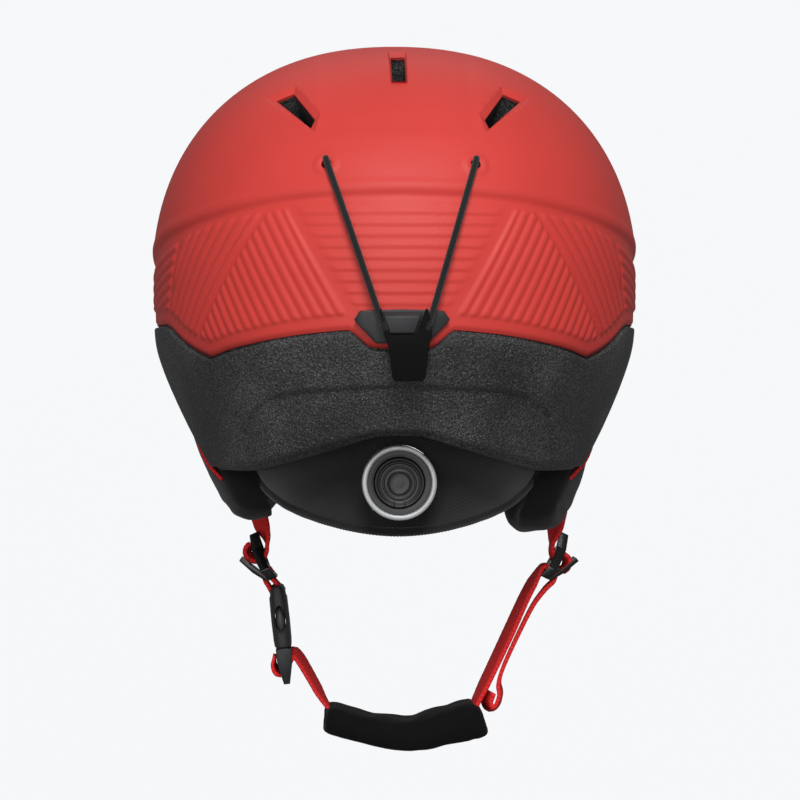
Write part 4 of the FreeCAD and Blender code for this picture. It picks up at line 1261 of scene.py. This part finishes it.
def reshape(obj, own, change):
    """Change each point of a piece in the frame of that piece (millimetres)."""
    back = own.inverted()
    moved = []
    for point in points_of(obj):
        local = back @ (Vector(point) / MM)
        change(local)
        moved.append((own @ local) * MM)
    set_points(obj, np.array(moved))


def taper_tongue(local):
    local.x *= 1 - 0.6 * min(max((-7.0 - local.z) / 10.0, 0.0), 1.0)


def bow_adjuster(local, side):
    reach = abs(local.x)
    local.x = math.copysign(min(reach * 1.25, reach * 0.86 + 0.7), local.x)
    local.x -= side * (0.018 * (local.z + 7.0) ** 2 - 0.9)


def build_buckle():
    """The buckle's halves and prongs, and the two adjusters."""
    female = loft_block("buckle_shell", [(0.0, 3.5, 12.9), (0.4, 3.9, 13.3), (3.0, 4.15, 13.5),
                                         (12.0, 4.3, 13.5), (22.0, 4.15, 13.5), (26.0, 3.8, 13.2),
                                         (27.8, 3.0, 12.4), (28.6, 1.6, 11.0)])
    window = [[(2.5 * math.cos(TAU * k / 40), y, 12.8 + 6.6 * math.sin(TAU * k / 40))
               for k in range(40)] for y in (-20, 20)]
    throat = [[(-2.3, -10.8, z), (2.3, -10.8, z), (2.3, 10.8, z), (-2.3, 10.8, z)]
              for z in (-1.0, 20.0)]
    slot = [[(x, -9.8, 22.8), (x, 9.8, 22.8), (x, 9.8, 26.0), (x, -9.8, 26.0)]
            for x in (-8.0, 8.0)]
    cutters = [buckle_cutter("cut_w", window), buckle_cutter("cut_t", throat),
               buckle_cutter("cut_s", slot)]
    cut_away(female, cutters)
    remove(cutters)
    female.data.set_sharp_from_angle(angle=math.radians(34))
    finish_piece(female, "chin_strap", PLASTIC, ["buckle_female"])
    for side, name in ((1, "left"), (-1, "right")):
        soften("buckle_prong_" + name, "prong_" + name, BUTTON_PLASTIC, 0.4)
        place = BUCKLE_FRAME @ Matrix.Translation(Vector((0, side * 10.4, 12.4)))
        place = Matrix.Scale(MM, 4) @ place @ Matrix.Diagonal((2.15, 2.9, 5.2, 1))
        button = link_object("buckle_button_" + name, bpy.data.meshes.new("button_" + name))
        with editing(button.data) as work:
            bmesh.ops.create_uvsphere(work, u_segments=32, v_segments=20, radius=1.0, matrix=place)
        shade_smooth(button)
        finish_piece(button, "prong_" + name, BUTTON_PLASTIC)
    tongue = soften("buckle_tongue", "buckle_tongue", PLASTIC, 0.5)
    reshape(tongue, BUCKLE_FRAME, taper_tongue)
    for side, name, top, lean in ((1, "left", 64.0, 24), (-1, "right", -78.0, -26)):
        adjuster = soften("divider_" + name, "chin_strap", GLOSS_PLASTIC, 0.4)
        own = Matrix.Translation(Vector((top, STRAP_Y, -92.0)))
        own = own @ Matrix.Rotation(math.radians(lean), 4, "Y")
        reshape(adjuster, own, lambda local: bow_adjuster(local, side))


CHIN_OUTLINE = [(28.5, -163.0), (24.3, -165.6), (11.9, -170.4), (-2.0, -172.4), (-10.0, -171.6),
                (-24.0, -167.4), (-32.7, -163.4), (-38.4, -163.2), (-43.0, -170.0), (-46.4, -178.4),
                (-44.8, -181.4), (-35.2, -183.4), (-15.6, -187.3), (-5.0, -188.0), (7.9, -186.5),
                (23.9, -182.6), (35.2, -179.2), (36.6, -176.4), (35.2, -173.6), (32.8, -165.4)]


def build_chin_pad():
    """A padded sleeve with hems at both ends, where the webbing goes in."""
    stations = [(-19.0, 0.86), (-17.0, 0.94), (-10, 0.99), (0, 1.0), (10, 0.99), (17.0, 0.94),
                (19.0, 0.86)]
    vertices = []
    for across, size in stations:
        for x, z in CHIN_OUTLINE:
            centre_z = -175.6 + 0.0075 * (x + 3.5) ** 2
            vertices.append((x * (0.985 + 0.015 * size), STRAP_Y + across,
                             centre_z + (z - centre_z) * size))
    faces = capped_faces(len(stations), len(CHIN_OUTLINE))
    obj = fix_normals(make_object("chin_cushion", vertices, faces))
    shrink(obj, 1.2)
    remesh(obj, 3.5)
    relax(obj, 2)
    inflate(obj, 5.0)
    subdivide(obj)
    points = points_of(obj)
    for x, z, inward in ((34.5, -173.0, -1), (-40.0, -173.5, 1)):
        along, up = (points[:, 0] / MM - x) / 5.0, (points[:, 2] / MM - z) / 4.2
        across = (points[:, 1] / MM - STRAP_Y) / 15.0
        points[:, 0] += np.exp(-(along ** 2) - up ** 2 - across ** 4) * inward * 3.2 * MM
    set_points(obj, points)
    wrinkle(obj, 14.0, 0.7)
    wrinkle(obj, 5.0, 0.22)
    for x, lean in ((30.6, 0.8), (-36.8, -0.8)):
        ring = [(x + lean * math.sin(t), STRAP_Y + 18.5 * math.cos(t), -174.0 + 8.8 * math.sin(t))
                for t in np.linspace(0, TAU, 33)]
        press_groove(obj, ring, 1.1, 0.9)
    soft_piece(obj, "chin_strap", CHIN_CLOTH, ["chin_pad"])


build_straps()
build_buckle()
build_chin_pad()

# ================================================================ carried-over nodes
NODE_LOOKS = {"dark_plastic": PLASTIC, "elastic_black": CORD}
slots = {part["node"]: part["material_slot"] for part in frame["record"]["subparts"]}
for name, node in frame["nodes"].items():
    if node.hide_render:
        continue
    node.data.materials.clear()
    node.data.materials.append(NODE_LOOKS[slots[name]])

# ================================================================ camera, light and stage
camera_data = bpy.data.cameras.new("Camera")
camera_data.lens = 151.6
camera_data.sensor_width = 36.0
camera_data.clip_end = 50.0
camera = link_object("Camera", camera_data)
camera.location = (0.0378, 1.5495, -0.026)
looking = Vector((-0.02618, -0.99966, 0.0))
camera.rotation_euler = looking.to_track_quat("-Z", "Y").to_euler()
bpy.context.scene.camera = camera


def area_light(name, place, target, size, power):
    data = bpy.data.lights.new(name, "AREA")
    data.shape = "RECTANGLE"
    data.size, data.size_y = size
    data.energy = power
    obj = link_object(name, data)
    obj.location = place
    obj.rotation_euler = (Vector(target) - Vector(place)).to_track_quat("-Z", "Y").to_euler()


area_light("key", (-0.1, 1.9, 1.5), (0, 0, 0.0), (0.9, 0.7), 38)
area_light("fill", (0.3, 2.3, 0.1), (0, 0, 0.0), (1.2, 1.2), 14)
area_light("rim", (0.0, -1.3, 1.5), (0, 0, 0.05), (1.4, 0.6), 2)


def build_stage():
    """A pale sweep: floor, cove and backdrop in one sheet."""
    far, low, bend, half_width = -6.0, -0.9, 2.0, 9.0
    line = [(9.0, low), (2.0, low)]
    line += [(far + bend - bend * math.sin(t), low + bend - bend * math.cos(t))
             for t in np.linspace(0, math.pi / 2, 12)]
    line.append((far, 9.0))
    vertices = [(x / MM, y / MM, z / MM) for y, z in line for x in (-half_width, half_width)]
    faces = [(2 * k, 2 * k + 1, 2 * k + 3, 2 * k + 2) for k in range(len(line) - 1)]
    sweep = make_object("studio_sweep", vertices, faces)
    material, nodes, links, shader = new_material("studio_white")
    broad = add_noise(nodes, links, 0.6, 2.0, object_coordinates(nodes))
    stops = [(0.3, (0.02, 0.02, 0.02)), (0.7, (0.03, 0.03, 0.03))]
    links.new(ramp_color(nodes, links, broad, stops), shader.inputs["Base Color"])
    set_inputs(shader, {"Roughness": 0.95, "Specular IOR Level": 0.0,
                        "Emission Color": (0.92, 0.93, 0.945, 1), "Emission Strength": 1.0})
    sweep.data.materials.append(material)
    sweep.visible_diffuse = False
    sweep.visible_glossy = False


build_stage()
world = bpy.data.worlds.new("World")
world.use_nodes = True
set_inputs(world.node_tree.nodes["Background"], {"Color": (0.95, 0.955, 0.965, 1), "Strength": 0.22})
bpy.context.scene.world = world
bpy.context.scene.view_settings.view_transform = "Standard"
